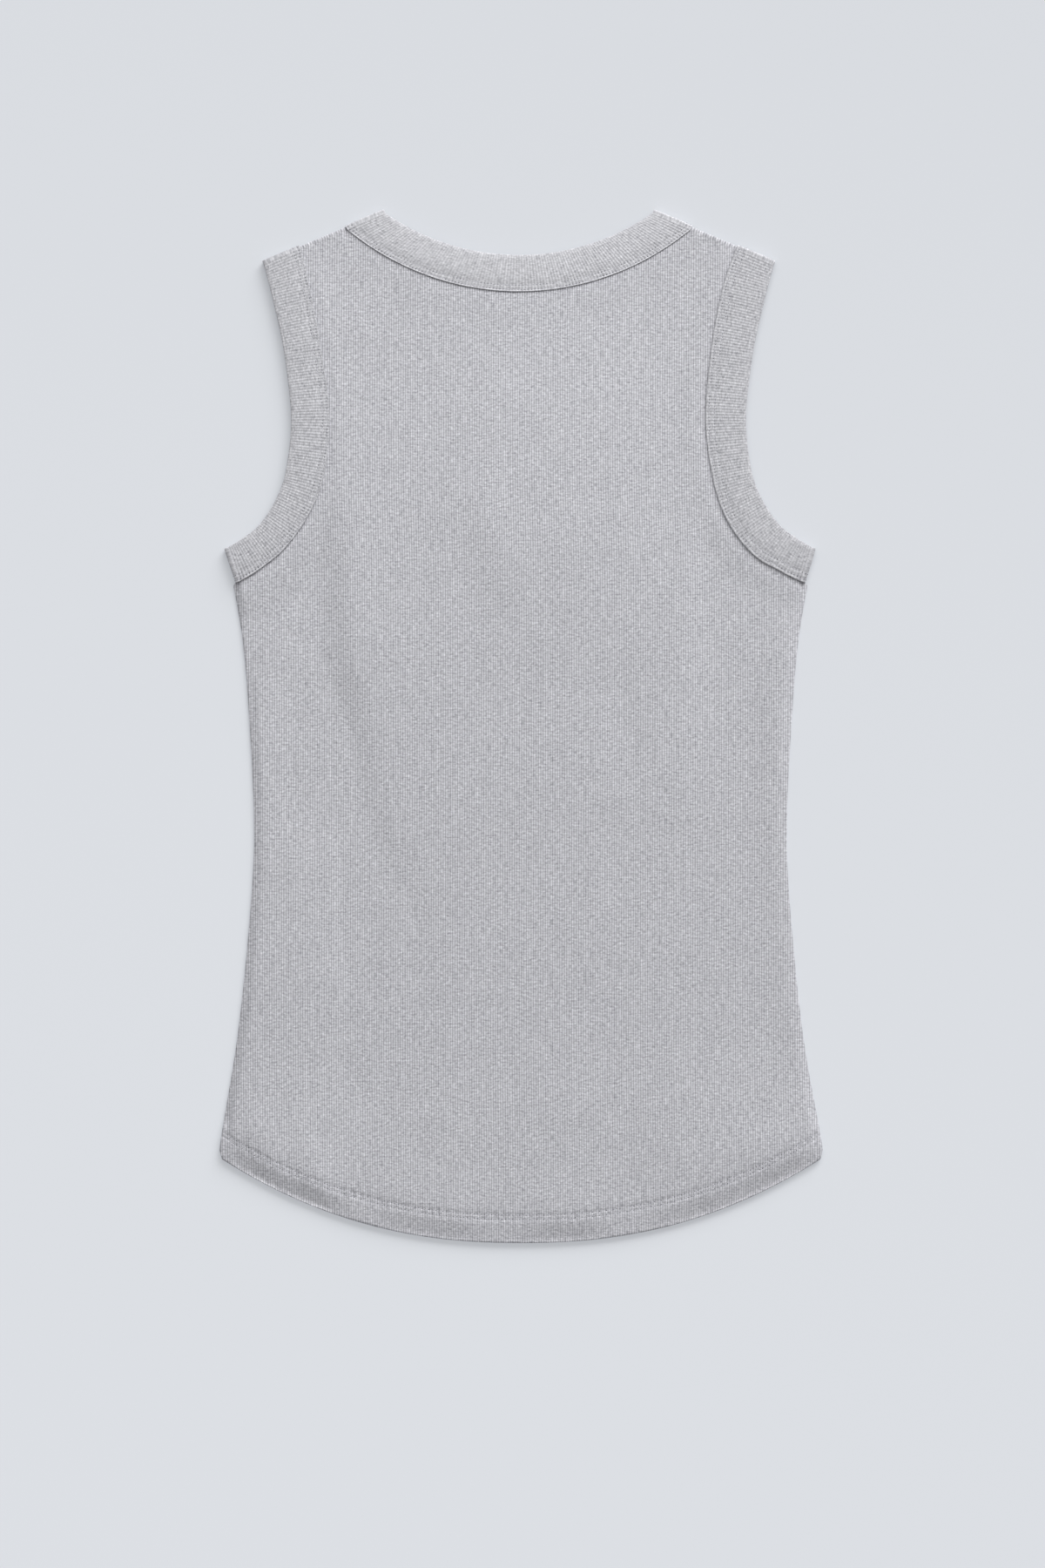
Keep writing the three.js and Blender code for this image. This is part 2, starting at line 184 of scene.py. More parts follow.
ARMHOLE = (
    ArmholeStation(162, 293.7, 25.3, 25.9),
    ArmholeStation(155.1, 269, 24.5, 27.5),
    ArmholeStation(148, 236, 23.5, 26.5),
    ArmholeStation(143.5, 194.7, 24.4, 25.6),
    ArmholeStation(146.8, 161.7, 24, 25),
    ArmholeStation(153.8, 142.4, 22.6, 26),
    ArmholeStation(164.3, 127, 21.7, 25.5),
    ArmholeStation(174.6, 118.8, 22, 23.5),
    ArmholeStation(186.7, 112.2, 22.8, 22.8),
)
SIDE_SEAM = LevelCurve(
    ((-273, 188.8), (-268.4, 190.6), (-201.3, 179.3), (-135, 172), (-69.3, 168), (18.7, 172.1), (62.7, 176.3),
     (91, 181.6))
)
MIDDLE_LINE = LevelCurve(((-273, 0), (-200, -0.5), (90, -0.5), (165, -1.6), (330, -1.4)))


@dataclass(frozen=True)
class Layers:
    """How thick the cloth is and how its layers lie on each other."""

    cloth: float = 1.0
    gap: float = 0.3
    binding: float = 2.7
    hem: float = 2.0
    hem_depth: float = 18.0
    hem_release: float = 9.0
    fold_inner: float = 1.0

    @property
    def fold_axis(self) -> float:
        """The level halfway between the back and the front binding."""
        return self.binding + self.gap / 2

    @property
    def rest(self) -> float:
        """The level of the back where it lies on the front."""
        return self.cloth + self.gap


class BandSections(NamedTuple):
    """Sections of a binding, each with its opening edge and its seam edge in plan."""

    edge: np.ndarray
    seam: np.ndarray
    across: np.ndarray


@dataclass
class GarmentCut:
    """Outlines of the pieces, worked out from the shoulder, neck, armhole, side and hem sizes."""

    layers: Layers = field(default_factory=Layers)
    neck_corner: tuple[float, float] = (85.2, 326.2)
    shoulder_tip: tuple[float, float] = (162.0, 293.7)
    underarm_way: tuple[float, float] = (-0.31, -0.951)
    seam_drop: float = 2.0
    hem_sag: float = 52.8
    hem_roundness: float = 2.27
    hem_corner_y: float = -273.0
    underarm_y: float = 91.0
    neckband_width: float = 26.4
    back_opening_y: float = 297.3
    back_seam_y: float = 274.1
    front_opening_y: float = 134.0
    front_seam_y: float = 111.0
    armhole_scoop: float = 6.0
    end_blend: float = 0.12
    outline_middle: float = 0.04

    def __post_init__(self) -> None:
        """Works out the shoulder's and underarm's directions and the fold lines."""
        radius = self.layers.fold_axis
        corner, tip = np.array(self.neck_corner), np.array(self.shoulder_tip)
        self.towards_neck = unit(corner - tip)
        self.shoulder_out = np.array([self.towards_neck[1], -self.towards_neck[0]])
        self.into_body = unit(np.array(self.underarm_way))
        self.underarm_out = np.array([-self.into_body[1], self.into_body[0]])
        self.neck_fold = corner - self.shoulder_out * radius
        self.neck_seam_fold = self.neck_fold - self.towards_neck * self.neckband_width
        places = np.array([(row.half, row.y) for row in ARMHOLE])
        places[0] -= self.shoulder_out * radius
        places[-1] -= self.underarm_out * radius
        self.armhole_edge = SplinePath(places)
        self.armhole_widths = SplinePath([(row.left, row.right) for row in ARMHOLE])

    def place(self, half: np.ndarray, y: np.ndarray) -> np.ndarray:
        """Turns plan places into the part's own x and y, (n, 2)."""
        return np.stack([MIDDLE_LINE(y) + half, y - self.outline_middle], axis=-1)

    def hem_y(self, half: np.ndarray) -> np.ndarray:
        """The level of the hem's lower edge at a distance from the middle."""
        share = np.clip(np.abs(half) / SIDE_SEAM(self.hem_corner_y), 0, 1)
        return self.hem_corner_y - self.hem_sag * (1 - share**self.hem_roundness)

    def armhole(self, side: Side, face: Face, share: np.ndarray) -> BandSections:
        """Sections of one armhole's binding on one layer.

        Args:
            side: The left or right armhole.
            face: The back or the front.
            share: How far each section is from the shoulder, 0, to the underarm, 1.

        Returns:
            The sections in plan places with half positive on both sides.
        """
        edge = self.armhole_edge.at(share)
        along = self.armhole_edge.direction(share)
        across = np.stack([along[:, 1], -along[:, 0]], axis=-1)
        at_shoulder = smooth(1 - share / self.end_blend)[:, None]
        across = mix(across, self.towards_neck, at_shoulder)
        at_underarm = smooth(1 - (1 - share) / self.end_blend)[:, None]
        across = unit(mix(across, self.into_body, at_underarm))
        if face is Face.FRONT:
            edge = edge + across * self.armhole_scoop * np.sin(np.pi * share)[:, None] ** 2
        width = self.armhole_widths.at(share)[:, 0 if side is Side.LEFT else 1, None]
        return BandSections(edge, edge + across * width, across)

    def neck(self, face: Face, is_seam: bool, share: np.ndarray) -> np.ndarray:
        """The neck's opening or seam edge from the middle, 0, to the shoulder fold, 1, (n, 2)."""
        end = self.neck_seam_fold if is_seam else self.neck_fold
        if face is Face.FRONT:
            bottom = self.front_seam_y if is_seam else self.front_opening_y
            turn = share * np.pi / 2
            return np.stack([end[0] * np.sin(turn), mix(end[1], bottom, np.cos(turn))], axis=-1)
        bottom = self.back_seam_y if is_seam else self.back_opening_y
        radius, angle = self.arc(bottom, end)
        turn = share * angle
        return np.stack([radius * np.sin(turn), bottom + radius * (1 - np.cos(turn))], axis=-1)

    @staticmethod
    def arc(bottom: float, end: np.ndarray) -> tuple[float, float]:
        """Radius and angle of the arc that leaves the middle level and rises to its end."""
        lift = end[1] - bottom
        radius = (end[0] ** 2 + lift**2) / (2 * lift)
        return radius, math.asin(end[0] / radius)

    def shoulder_y(self, half: np.ndarray) -> np.ndarray:
        """The level of the shoulder's fold line at a distance from the middle."""
        slope = self.towards_neck[1] / self.towards_neck[0]
        return self.neck_fold[1] + (np.abs(half) - self.neck_fold[0]) * slope

    def top_y(self, face: Face, half: np.ndarray, margin: float) -> np.ndarray:
        """The level of a panel's upper edge: the neck's seam, or the shoulder's fold past it.

        Args:
            face: The back or the front panel.
            half: Distances from the middle.
            margin: How far the cloth runs on into the neckband.

        Returns:
            The level at each distance.
        """
        end, away = self.neck_seam_fold, np.abs(half)
        if face is Face.FRONT:
            reach = end[0] - margin
            share = np.sqrt(1 - np.clip(away / reach, 0, 1) ** 2)
            neck = np.where(away < reach, mix(end[1], self.front_seam_y + margin, share), np.inf)
        else:
            radius = self.arc(self.back_seam_y, end)[0]
            inner = radius - margin
            neck = self.back_seam_y + radius - np.sqrt(inner**2 - np.clip(away, 0, inner) ** 2)
        return np.minimum(neck, self.shoulder_y(half))


# How the cloth lies


class CreasePoint(NamedTuple):
    """A place on a crease, its rise above the cloth (a sink if below 0), and its widths to either side."""

    x: float
    y: float
    height: float
    left: float
    right: float


def crease(width: float, *points: tuple[float, ...]) -> tuple[CreasePoint, ...]:
    """Makes a soft trough or ridge along a line.

    Args:
        width: Its half-width where a point has none of its own.
        points: (x, y, height) each, or (x, y, height, left, right) with its widths to either side. A line
            that runs down has its left in the picture first, and one that runs right has what is below first.

    Returns:
        The crease's points, in order.
    """
    return tuple(CreasePoint(*point[:3], *(point[3:] or (width, width))) for point in points)


BACK_CREASES = (
    # The trough beside the left streak, round above and wider below, where its left wall turns to the light
    crease(
        20,
        (-112, 40, 0, 40, 18),
        (-110, 0, -0.5, 40, 18),
        (-108, -36, -1.0, 40, 20),
        (-103, -80, -1.4, 30, 22),
        (-97, -120, -1.9, 30, 28),
        (-92, -175, -1.6, 30, 36),
        (-88, -245, -0.4, 30, 36),
    ),
    # The ridges on its left, towards the side seam, and on its right
    crease(
        10,
        (-150, 85, 0, 10, 14),
        (-155, 50, 0.8, 10, 14),
        (-163, 10, 1.2, 10, 16),
        (-165, -36, 1.6, 10, 18),
        (-164, -75, 1.2, 10, 18),
        (-160, -110, 0, 10, 18),
    ),
    crease(
        16,
        (-168, -60, 0, 12, 30),
        (-168, -110, 1.2, 12, 34),
        (-168, -165, 1.4, 12, 34),
        (-166, -225, 1.2, 16, 36),
        (-166, -252, 1.5, 16, 36),
        (-166, -275, 0, 16, 36),
    ),
    crease(
        12,
        (-124, -40, 0, 34, 12),
        (-121, -85, 1.5, 34, 12),
        (-119, -160, 1.7, 34, 13),
        (-124, -225, 0, 34, 13),
    ),
    crease(12, (-107, 160, 0), (-105, 115, 0.6), (-101, 60, 0.6), (-95, 15, 0)),
    # The rise towards the right side seam
    crease(
        10,
        (166, 85, 0, 11, 8),
        (163, 55, 1.2, 11, 8),
        (160, 0, 1.1, 11, 8),
        (160, -50, 0.6, 11, 8),
        (164, -120, 0.5, 12, 8),
        (172, -200, 0, 12, 8),
    ),
    # A broad swell of the upper right, turned to the light
    crease(66, (14, 262, 0), (18, 205, 2.4), (20, 120, 2.6), (14, 30, 0)),
    # The edge of the front's neckband, pressed through from below
    crease(15, (-44, 172, 0), (-22, 138, 1.0, 22, 14), (-8, 104, 1.0, 22, 14), (-4, 66, 0)),
    # Small swells below the neck and on the left shoulder
    crease(10, (-38, 258, 0), (-16, 260, 0.5), (12, 258, 0.5), (34, 254, 0)),
    crease(9, (-120, 253, 0), (-103, 251, 0.5), (-88, 246, 0)),
    # Dents of the right middle
    crease(12, (60, 42, 0), (66, 15, -0.7), (71, -20, -0.7), (70, -50, 0)),
    # The crest above the hem's right end
    crease(
        20,
        (70, -266, 0, 18, 45),
        (100, -264, 1.1, 18, 45),
        (140, -258, 1.4, 18, 45),
        (178, -240, 0, 18, 45),
    ),
    # Swells between the hem's puckers
    crease(22, (38, -195, 0), (39, -240, 0.7), (40, -275, 0.4)),
    crease(24, (-46, -205, 0), (-44, -250, 0.7), (-44, -280, 0.4)),
)
FRONT_CREASES = (
    crease(16, (-95, 80, 0), (-88, -40, 0.4), (-84, -200, 0)),
    crease(14, (104, 60, 0), (98, -60, 0.4), (96, -140, 0)),
)


class Flank(NamedTuple):
    """One side of the back, lying lower than its middle.

    Each size is by level: how far out from the middle line the slope ends, over how far it rises, and
    how much lower than the middle the flank lies.
    """

    foot: LevelCurve
    run: LevelCurve
    drop: LevelCurve

    def at(self, away: np.ndarray, y: np.ndarray) -> np.ndarray:
        """How much lower than the middle the cloth lies at distances out from the middle line."""
        return self.drop(y) * (1 - smooth((self.foot(y) - away) / self.run(y)))


FLANKS = {
    Side.LEFT: Flank(
        foot=LevelCurve(
            ((-260, 86), (-170, 88), (-124, 94), (-80, 103), (-36, 110), (8, 118), (41, 127), (107, 132),
             (165, 135))
        ),
        run=LevelCurve(((-200, 60), (-124, 44), (-80, 30), (8, 26), (107, 25), (165, 30))),
        drop=LevelCurve(
            ((-260, 0.3), (-170, 0.5), (-124, 0.8), (-80, 1.2), (-36, 1.9), (8, 2.6), (41, 2.8), (74, 2.8),
             (107, 2.5), (140, 1.3), (185, 0))
        ),
    ),
    Side.RIGHT: Flank(
        foot=LevelCurve(((-200, 150), (-80, 148), (-36, 135), (8, 122), (107, 122), (165, 124))),
        run=LevelCurve(((-200, 80), (-80, 76), (-36, 55), (8, 26), (107, 22), (165, 26))),
        drop=LevelCurve(
            ((-260, 0.4), (-120, 0.6), (-36, 1.3), (8, 1.7), (74, 1.9), (107, 1.8), (140, 0.9), (180, 0))
        ),
    ),
}


@dataclass(frozen=True)
class Puckers:
    """Small waves that a row of stitches draws into the cloth beside it."""

    height: float = 0.13
    pitch: float = 6.5
    reach: float = 6.0
    unevenness: float = 2.3
    drift: tuple[float, float] = (0.137, 0.31)

    def at(self, along: np.ndarray, away: np.ndarray) -> np.ndarray:
        """Heights of the waves at places along the row and away from it, both in millimetres."""
        turn = 2 * np.pi * along / self.pitch
        slow, quick = (np.sin(turn * share) for share in self.drift)
        wave = np.sin(turn + self.unevenness * slow + quick)
        return self.height * wave * np.exp(-((away / self.reach) ** 2))


@dataclass
class LaidCloth:
    """Heights of the two panels: puffed inside, flat at the side seams, raised at the bindings."""

    cut: GarmentCut
    puff_height: LevelCurve = LevelCurve(
        ((-320, 0.9), (-130, 0.9), (-80, 1.3), (-36, 2.1), (40, 3.0), (130, 2.8), (220, 1.8))
    )
    puff_reach: float = 6.5
    hem_air: float = 0.3
    hem_reach: float = 95.0
    band_reach: float = 30.0
    band_side_reach: float = 6.0
    underarm_reach: float = 12.0
    shoulder_rise: float = 25.0
    edge_width: float = 1.6
    left_at_edge: float = 0.4
    hem_droop: LevelCurve = LevelCurve(
        ((-189, 0), (-176, 1.6), (-160, 3), (-146, 2.2), (-130, 3.1), (-112, 0.8), (-95, 0.4), (-72, 1.5),
         (-40, 1.6), (-22, 0.8), (-4, 1), (20, 2), (44, 1.6), (60, 0.5), (86, 0.9), (112, 2.2), (140, 2),
         (170, 2.4), (189, 0))
    )
    droop_share: float = 0.6
    hem_lift_reach: float = 35.0
    stitch_levels: tuple[float, float] = (15.1, 17.7)
    channel_depth: float = 0.4
    channel_width: float = 1.1
    seam_dip: float = 0.5
    seam_dip_width: float = 4.0
    puckers: Puckers = field(default_factory=Puckers)
    pucker_slant: float = 0.3
    seam_pucker_share: float = 0.7
    front_side_reach: float = 20.0
    trace_points: int = 49
    waves: int = 9
    wave_height: float = 0.16
    wave_lengths: tuple[float, float] = (45.0, 110.0)
    seed: int = 4

    def __post_init__(self) -> None:
        """Traces the bindings' seams and draws the broad unevenness once."""
        shares = np.linspace(0, 1, self.trace_points)
        self.arm_paths = {side: self.cut.armhole(side, Face.BACK, shares).seam for side in Side}
        self.neck_path = self.cut.neck(Face.BACK, True, shares)
        draw = np.random.default_rng(self.seed)
        turns = draw.uniform(0, np.pi, self.waves)
        scale = 2 * np.pi / draw.uniform(*self.wave_lengths, self.waves)
        self.wave_ways = np.stack([np.cos(turns), np.sin(turns)]) * scale
        self.wave_phases = draw.uniform(0, 2 * np.pi, self.waves)

    def above_hem(self, half: np.ndarray, y: np.ndarray) -> np.ndarray:
        """Height above the hem's edge, in plan."""
        return y - self.cut.hem_y(half)

    def hem_share(self, half: np.ndarray, y: np.ndarray) -> np.ndarray:
        """How much of the turned-up second layer thickens the cloth."""
        layers = self.cut.layers
        return 1 - smooth((self.above_hem(half, y) - layers.hem_depth) / layers.hem_release)

    def thickness(self, half: np.ndarray, y: np.ndarray) -> np.ndarray:
        """Thickness of a panel, doubled at the hem."""
        return mix(self.cut.layers.cloth, self.cut.layers.hem, self.hem_share(half, y))

    def edge_loss(self, half: np.ndarray, y: np.ndarray) -> np.ndarray:
        """What the rounded side and hem edges take off the outer face."""
        to_side = np.where(y > self.cut.underarm_y, np.inf, SIDE_SEAM(y) - np.abs(half))
        share = np.clip(np.minimum(to_side, self.above_hem(half, y)) / self.edge_width, 0, 1)
        return (self.thickness(half, y) - self.left_at_edge) * (1 - np.sqrt(1 - (1 - share) ** 2))

    def to_bands(self, half: np.ndarray, y: np.ndarray) -> tuple[np.ndarray, np.ndarray]:
        """Distance to the nearest binding's seam and the way along it, both in millimetres."""
        points = np.stack([np.abs(half), y], axis=-1)
        left, left_along = nearest_on(self.arm_paths[Side.LEFT], points)
        right, right_along = nearest_on(self.arm_paths[Side.RIGHT], points)
        arm, arm_along = np.where(half < 0, left, right), np.where(half < 0, left_along, right_along)
        neck, neck_along = nearest_on(self.neck_path, points)
        arm_length = np.linalg.norm(np.diff(self.arm_paths[Side.LEFT], axis=0), axis=1).sum()
        neck_length = np.linalg.norm(np.diff(self.neck_path, axis=0), axis=1).sum()
        along = np.where(arm < neck, arm_along * arm_length, neck_along * neck_length)
        return np.minimum(arm, neck), along + half

    def creased(
        self, creases: Sequence[tuple[CreasePoint, ...]], half: np.ndarray, y: np.ndarray
    ) -> np.ndarray:
        """The sum of the soft troughs and ridges at each place."""
        points = np.stack([half, y], axis=-1)
        total = np.zeros(len(half))
        for one in creases:
            line = np.array(one)
            steps = np.linalg.norm(np.diff(line[:, :2], axis=0), axis=1)
            passed = np.concatenate([[0.0], np.cumsum(steps)]) / steps.sum()
            away, along = nearest_on(line[:, :2], points)
            x, y_line, height, left, right = (np.interp(along, passed, line[:, k]) for k in range(5))
            piece = np.clip(np.searchsorted(passed, along, side="right") - 1, 0, len(steps) - 1)
            way = np.diff(line[:, :2], axis=0)[piece]
            is_left = way[:, 0] * (y - y_line) < way[:, 1] * (half - x)
            total += height * np.exp(-((away / np.where(is_left, left, right)) ** 2))
        return total

    def unevenness(self, half: np.ndarray, y: np.ndarray) -> np.ndarray:
        """Broad waves too faint to be creases."""
        turns = np.stack([half, y], axis=-1) @ self.wave_ways + self.wave_phases
        return self.wave_height * np.sin(turns).sum(axis=1) / math.sqrt(self.waves)

    def back_underside(self, half: np.ndarray, y: np.ndarray) -> np.ndarray:
        """The lower face of the back panel."""
        layers = self.cut.layers
        to_side = SIDE_SEAM(np.minimum(y, self.cut.underarm_y)) - np.abs(half)
        past_underarm = smooth((y - self.cut.underarm_y) / self.underarm_reach)
        above = self.above_hem(half, y)
        hem_share = self.hem_share(half, y)
        taper = mix(smooth(to_side / self.puff_reach), 1, past_underarm)
        to_band, _ = self.to_bands(half, y)
        reach = mix(self.band_side_reach, self.puff_reach, smooth(to_band / self.band_reach))
        band_taper = mix(smooth(to_side / reach), 1, past_underarm)
        at_band = layers.fold_axis + layers.fold_inner - layers.rest
        raised = at_band * smooth(1 - to_band / self.band_reach) * band_taper
        flank = np.where(half < 0, FLANKS[Side.LEFT].at(-half, y), FLANKS[Side.RIGHT].at(half, y))
        level_with_hem = self.hem_air + 2 * (layers.hem - layers.cloth)
        past_hem = smooth((above - layers.hem_depth) / self.hem_reach)
        inside = mix(level_with_hem, self.puff_height(y) - flank, past_hem)
        air = mix(self.hem_air, inside, 1 - hem_share)
        rise = np.cbrt((air * taper) ** 3 + raised**3)
        slack = smooth(to_band / (self.band_reach / 3)) * taper * smooth(above / layers.hem_depth)
        folds = self.creased(BACK_CREASES, half, y) + self.unevenness(half, y)
        lift = self.hem_lift(half, above) * taper
        doubled = (layers.hem - layers.cloth) * hem_share
        return layers.rest + doubled + np.maximum(0, rise + lift + folds * slack)

    def hem_lift(self, half: np.ndarray, above: np.ndarray) -> np.ndarray:
        """How far the hem's stitches stand up where its edge droops most."""
        falling = 1 - smooth((above - self.cut.layers.hem_depth) / self.hem_lift_reach)
        return self.hem_droop(half) * self.droop_share * smooth(above / self.stitch_levels[0]) * falling

    def to_shoulder(self, half: np.ndarray, y: np.ndarray) -> np.ndarray:
        """How far plan points lie from the outermost line of the shoulder's fold."""
        from_tip = np.stack([np.abs(half), y], axis=-1) - np.array(self.cut.shoulder_tip)
        return self.cut.layers.fold_axis - from_tip @ self.cut.shoulder_out

    def front_underside(self, half: np.ndarray, y: np.ndarray) -> np.ndarray:
        """The outer face of the front panel: flat on the surface, lifted towards the shoulder seam."""
        layers = self.cut.layers
        lift = layers.fold_axis - layers.fold_inner - layers.cloth
        return lift * smooth(1 - (self.to_shoulder(half, y) - 2 * layers.fold_axis) / self.shoulder_rise)

    def hem_work(self, half: np.ndarray, y: np.ndarray) -> np.ndarray:
        """What the hem's stitches and its droop take off the outer face, with their small puckers."""
        above = self.above_hem(half, y)
        lower, upper = self.stitch_levels
        channels = sum(np.exp(-(((above - level) / self.channel_width) ** 2)) for level in (lower, upper))
        droop = self.hem_droop(half) * self.droop_share * np.clip(1 - above / lower, 0, 1)
        waves = self.puckers.at(half + y * self.pucker_slant, above - (lower + upper) / 2)
        return self.channel_depth * channels + droop - waves

    def faces(self, face: Face, half: np.ndarray, y: np.ndarray) -> tuple[np.ndarray, np.ndarray]:
        """Levels of a panel's outer and inner face.

        Args:
            face: The back or the front panel.
            half: Signed distances from the middle line.
            y: Levels.

        Returns:
            The outer face's and the inner face's z.
        """
        thick, loss = self.thickness(half, y), self.edge_loss(half, y)
        work = self.hem_work(half, y) * smooth(self.above_hem(half, y) / self.edge_width)
        work = np.minimum(work, thick - loss - self.left_at_edge)
        if face is Face.FRONT:
            low = self.front_underside(half, y)
            from_side = smooth((SIDE_SEAM(y) - np.abs(half)) / self.front_side_reach)
            inside = smooth(self.above_hem(half, y) / self.hem_reach) * from_side
            swell = np.clip(self.creased(FRONT_CREASES, half, y), 0, None) * inside
            return low + swell + loss + np.clip(work, 0, None), low + swell + thick
        to_band, along = self.to_bands(half, y)
        low = self.back_underside(half, y)
        dip = self.seam_dip * np.exp(-((to_band / self.seam_dip_width) ** 2)) * (1 - self.hem_share(half, y))
        waves = self.puckers.at(along, to_band) * self.seam_pucker_share
        return low + thick - loss - work - dip + waves, low


# Knit, relief and stitches by Geometry Nodes


@dataclass(frozen=True)
class RibKnit:
    """A rib's real spacing, the depth of the groove beside it, and its columns of points."""

    pitch: float
    depth: float
    columns: int


BODY_RIB = RibKnit(pitch=1.5, depth=0.3, columns=3)
BINDING_RIB = RibKnit(pitch=1.8, depth=0.24, columns=4)


def add_node(
    tree: bpy.types.NodeTree, kind: str, settings: dict | None = None, inputs: dict | None = None
) -> bpy.types.Node:
    """Adds a node with its settings and links.

    Args:
        tree: The node tree that gets the node.
        kind: The node's type name.
        settings: Its properties by name.
        inputs: Its inputs by name or number, each a value or another node's output.

    Returns:
        The new node.
    """
    made = tree.nodes.new(kind)
    for name, value in (settings or {}).items():
        setattr(made, name, value)
    for key, value in (inputs or {}).items():
        if isinstance(value, bpy.types.NodeSocket):
            tree.links.new(value, made.inputs[key])
        else:
            made.inputs[key].default_value = value
    return made


def calculated(
    tree: bpy.types.NodeTree, operation: str, *values: float | bpy.types.NodeSocket
) -> bpy.types.NodeSocket:
    """Adds a math node on its values and gives its result."""
    return add_node(tree, "ShaderNodeMath", {"operation": operation}, dict(enumerate(values))).outputs[0]


def scaled(
    tree: bpy.types.NodeTree, vector: bpy.types.NodeSocket, scale: float | bpy.types.NodeSocket
) -> bpy.types.NodeSocket:
    """Adds a node that scales a vector or colour and gives its result."""
    return add_node(
        tree, "ShaderNodeVectorMath", {"operation": "SCALE"}, {0: vector, "Scale": scale}
    ).outputs[0]


def put_in_scene(name: str, data: bpy.types.ID) -> bpy.types.Object:
    """Makes an object of a mesh, lamp or camera and links it into the scene."""
    made = bpy.data.objects.new(name, data)
    bpy.context.scene.collection.objects.link(made)
    return made


def new_geometry_tree(name: str, sockets: Sequence[tuple[str, str]]) -> tuple:
    """Starts a Geometry Nodes tree with a geometry input and output.

    Args:
        name: The tree's name.
        sockets: The named inputs after the geometry, each a name and a socket type.

    Returns:
        The tree, its input node and its output node.
    """
    tree = bpy.data.node_groups.new(name, "GeometryNodeTree")
    tree.interface.new_socket("Geometry", in_out="INPUT", socket_type="NodeSocketGeometry")
    for label, kind in sockets:
        tree.interface.new_socket(label, in_out="INPUT", socket_type=kind)
    tree.interface.new_socket("Geometry", in_out="OUTPUT", socket_type="NodeSocketGeometry")
    return tree, tree.nodes.new("NodeGroupInput"), tree.nodes.new("NodeGroupOutput")


def run_tree(obj: bpy.types.Object, tree: bpy.types.NodeTree, values: dict) -> bpy.types.Object:
    """Runs a Geometry Nodes tree on an object and keeps the result as its plain mesh.

    Args:
        obj: The object whose mesh goes in.
        tree: The tree.
        values: The tree's named inputs.

    Returns:
        The same object, with the new mesh and no modifier.
    """
    modifier = obj.modifiers.new(tree.name, "NODES")
    modifier.node_group = tree
    for item in tree.interface.items_tree:
        if item.in_out == "INPUT" and item.name in values:
            modifier[item.identifier] = values[item.name]
    depsgraph = bpy.context.evaluated_depsgraph_get()
    result = bpy.data.meshes.new_from_object(
        obj.evaluated_get(depsgraph), preserve_all_data_layers=True, depsgraph=depsgraph
    )
    obj.modifiers.remove(modifier)
    before = obj.data
    obj.data = result
    bpy.data.meshes.remove(before)
    result.name = obj.name
    return obj


def rib_relief_tree() -> bpy.types.NodeTree:
    """Builds the tree that sinks a groove between ribs, wherever a mesh says its rib phase and weight."""
    tree, start, end = new_geometry_tree(
        "Rib relief", [("Rib depth", "NodeSocketFloat"), ("Cloth", "NodeSocketMaterial")]
    )
    phase, weight = (
        add_node(
            tree, "GeometryNodeInputNamedAttribute", {"data_type": "FLOAT"}, {"Name": name}
        ).outputs["Attribute"]
        for name in ("rib_phase", "rib_weight")
    )
    wave = calculated(tree, "COSINE", calculated(tree, "MULTIPLY", phase, math.pi))
    groove = calculated(tree, "SUBTRACT", calculated(tree, "ABSOLUTE", wave), 1.0)
    depth = calculated(tree, "MULTIPLY", groove, start.outputs["Rib depth"])
    normal = add_node(tree, "GeometryNodeInputNormal")
    offset = scaled(tree, normal.outputs["Normal"], calculated(tree, "MULTIPLY", depth, weight))
    moved = add_node(
        tree,
        "GeometryNodeSetPosition",
        inputs={"Geometry": start.outputs["Geometry"], "Offset": offset},
    )
    plain = add_node(tree, "GeometryNodeRealizeInstances", inputs={"Geometry": moved.outputs[0]})
    dressed = add_node(
        tree,
        "GeometryNodeSetMaterial",
        inputs={"Geometry": plain.outputs[0], "Material": start.outputs["Cloth"]},
    )
    tree.links.new(dressed.outputs[0], end.inputs[0])
    return tree


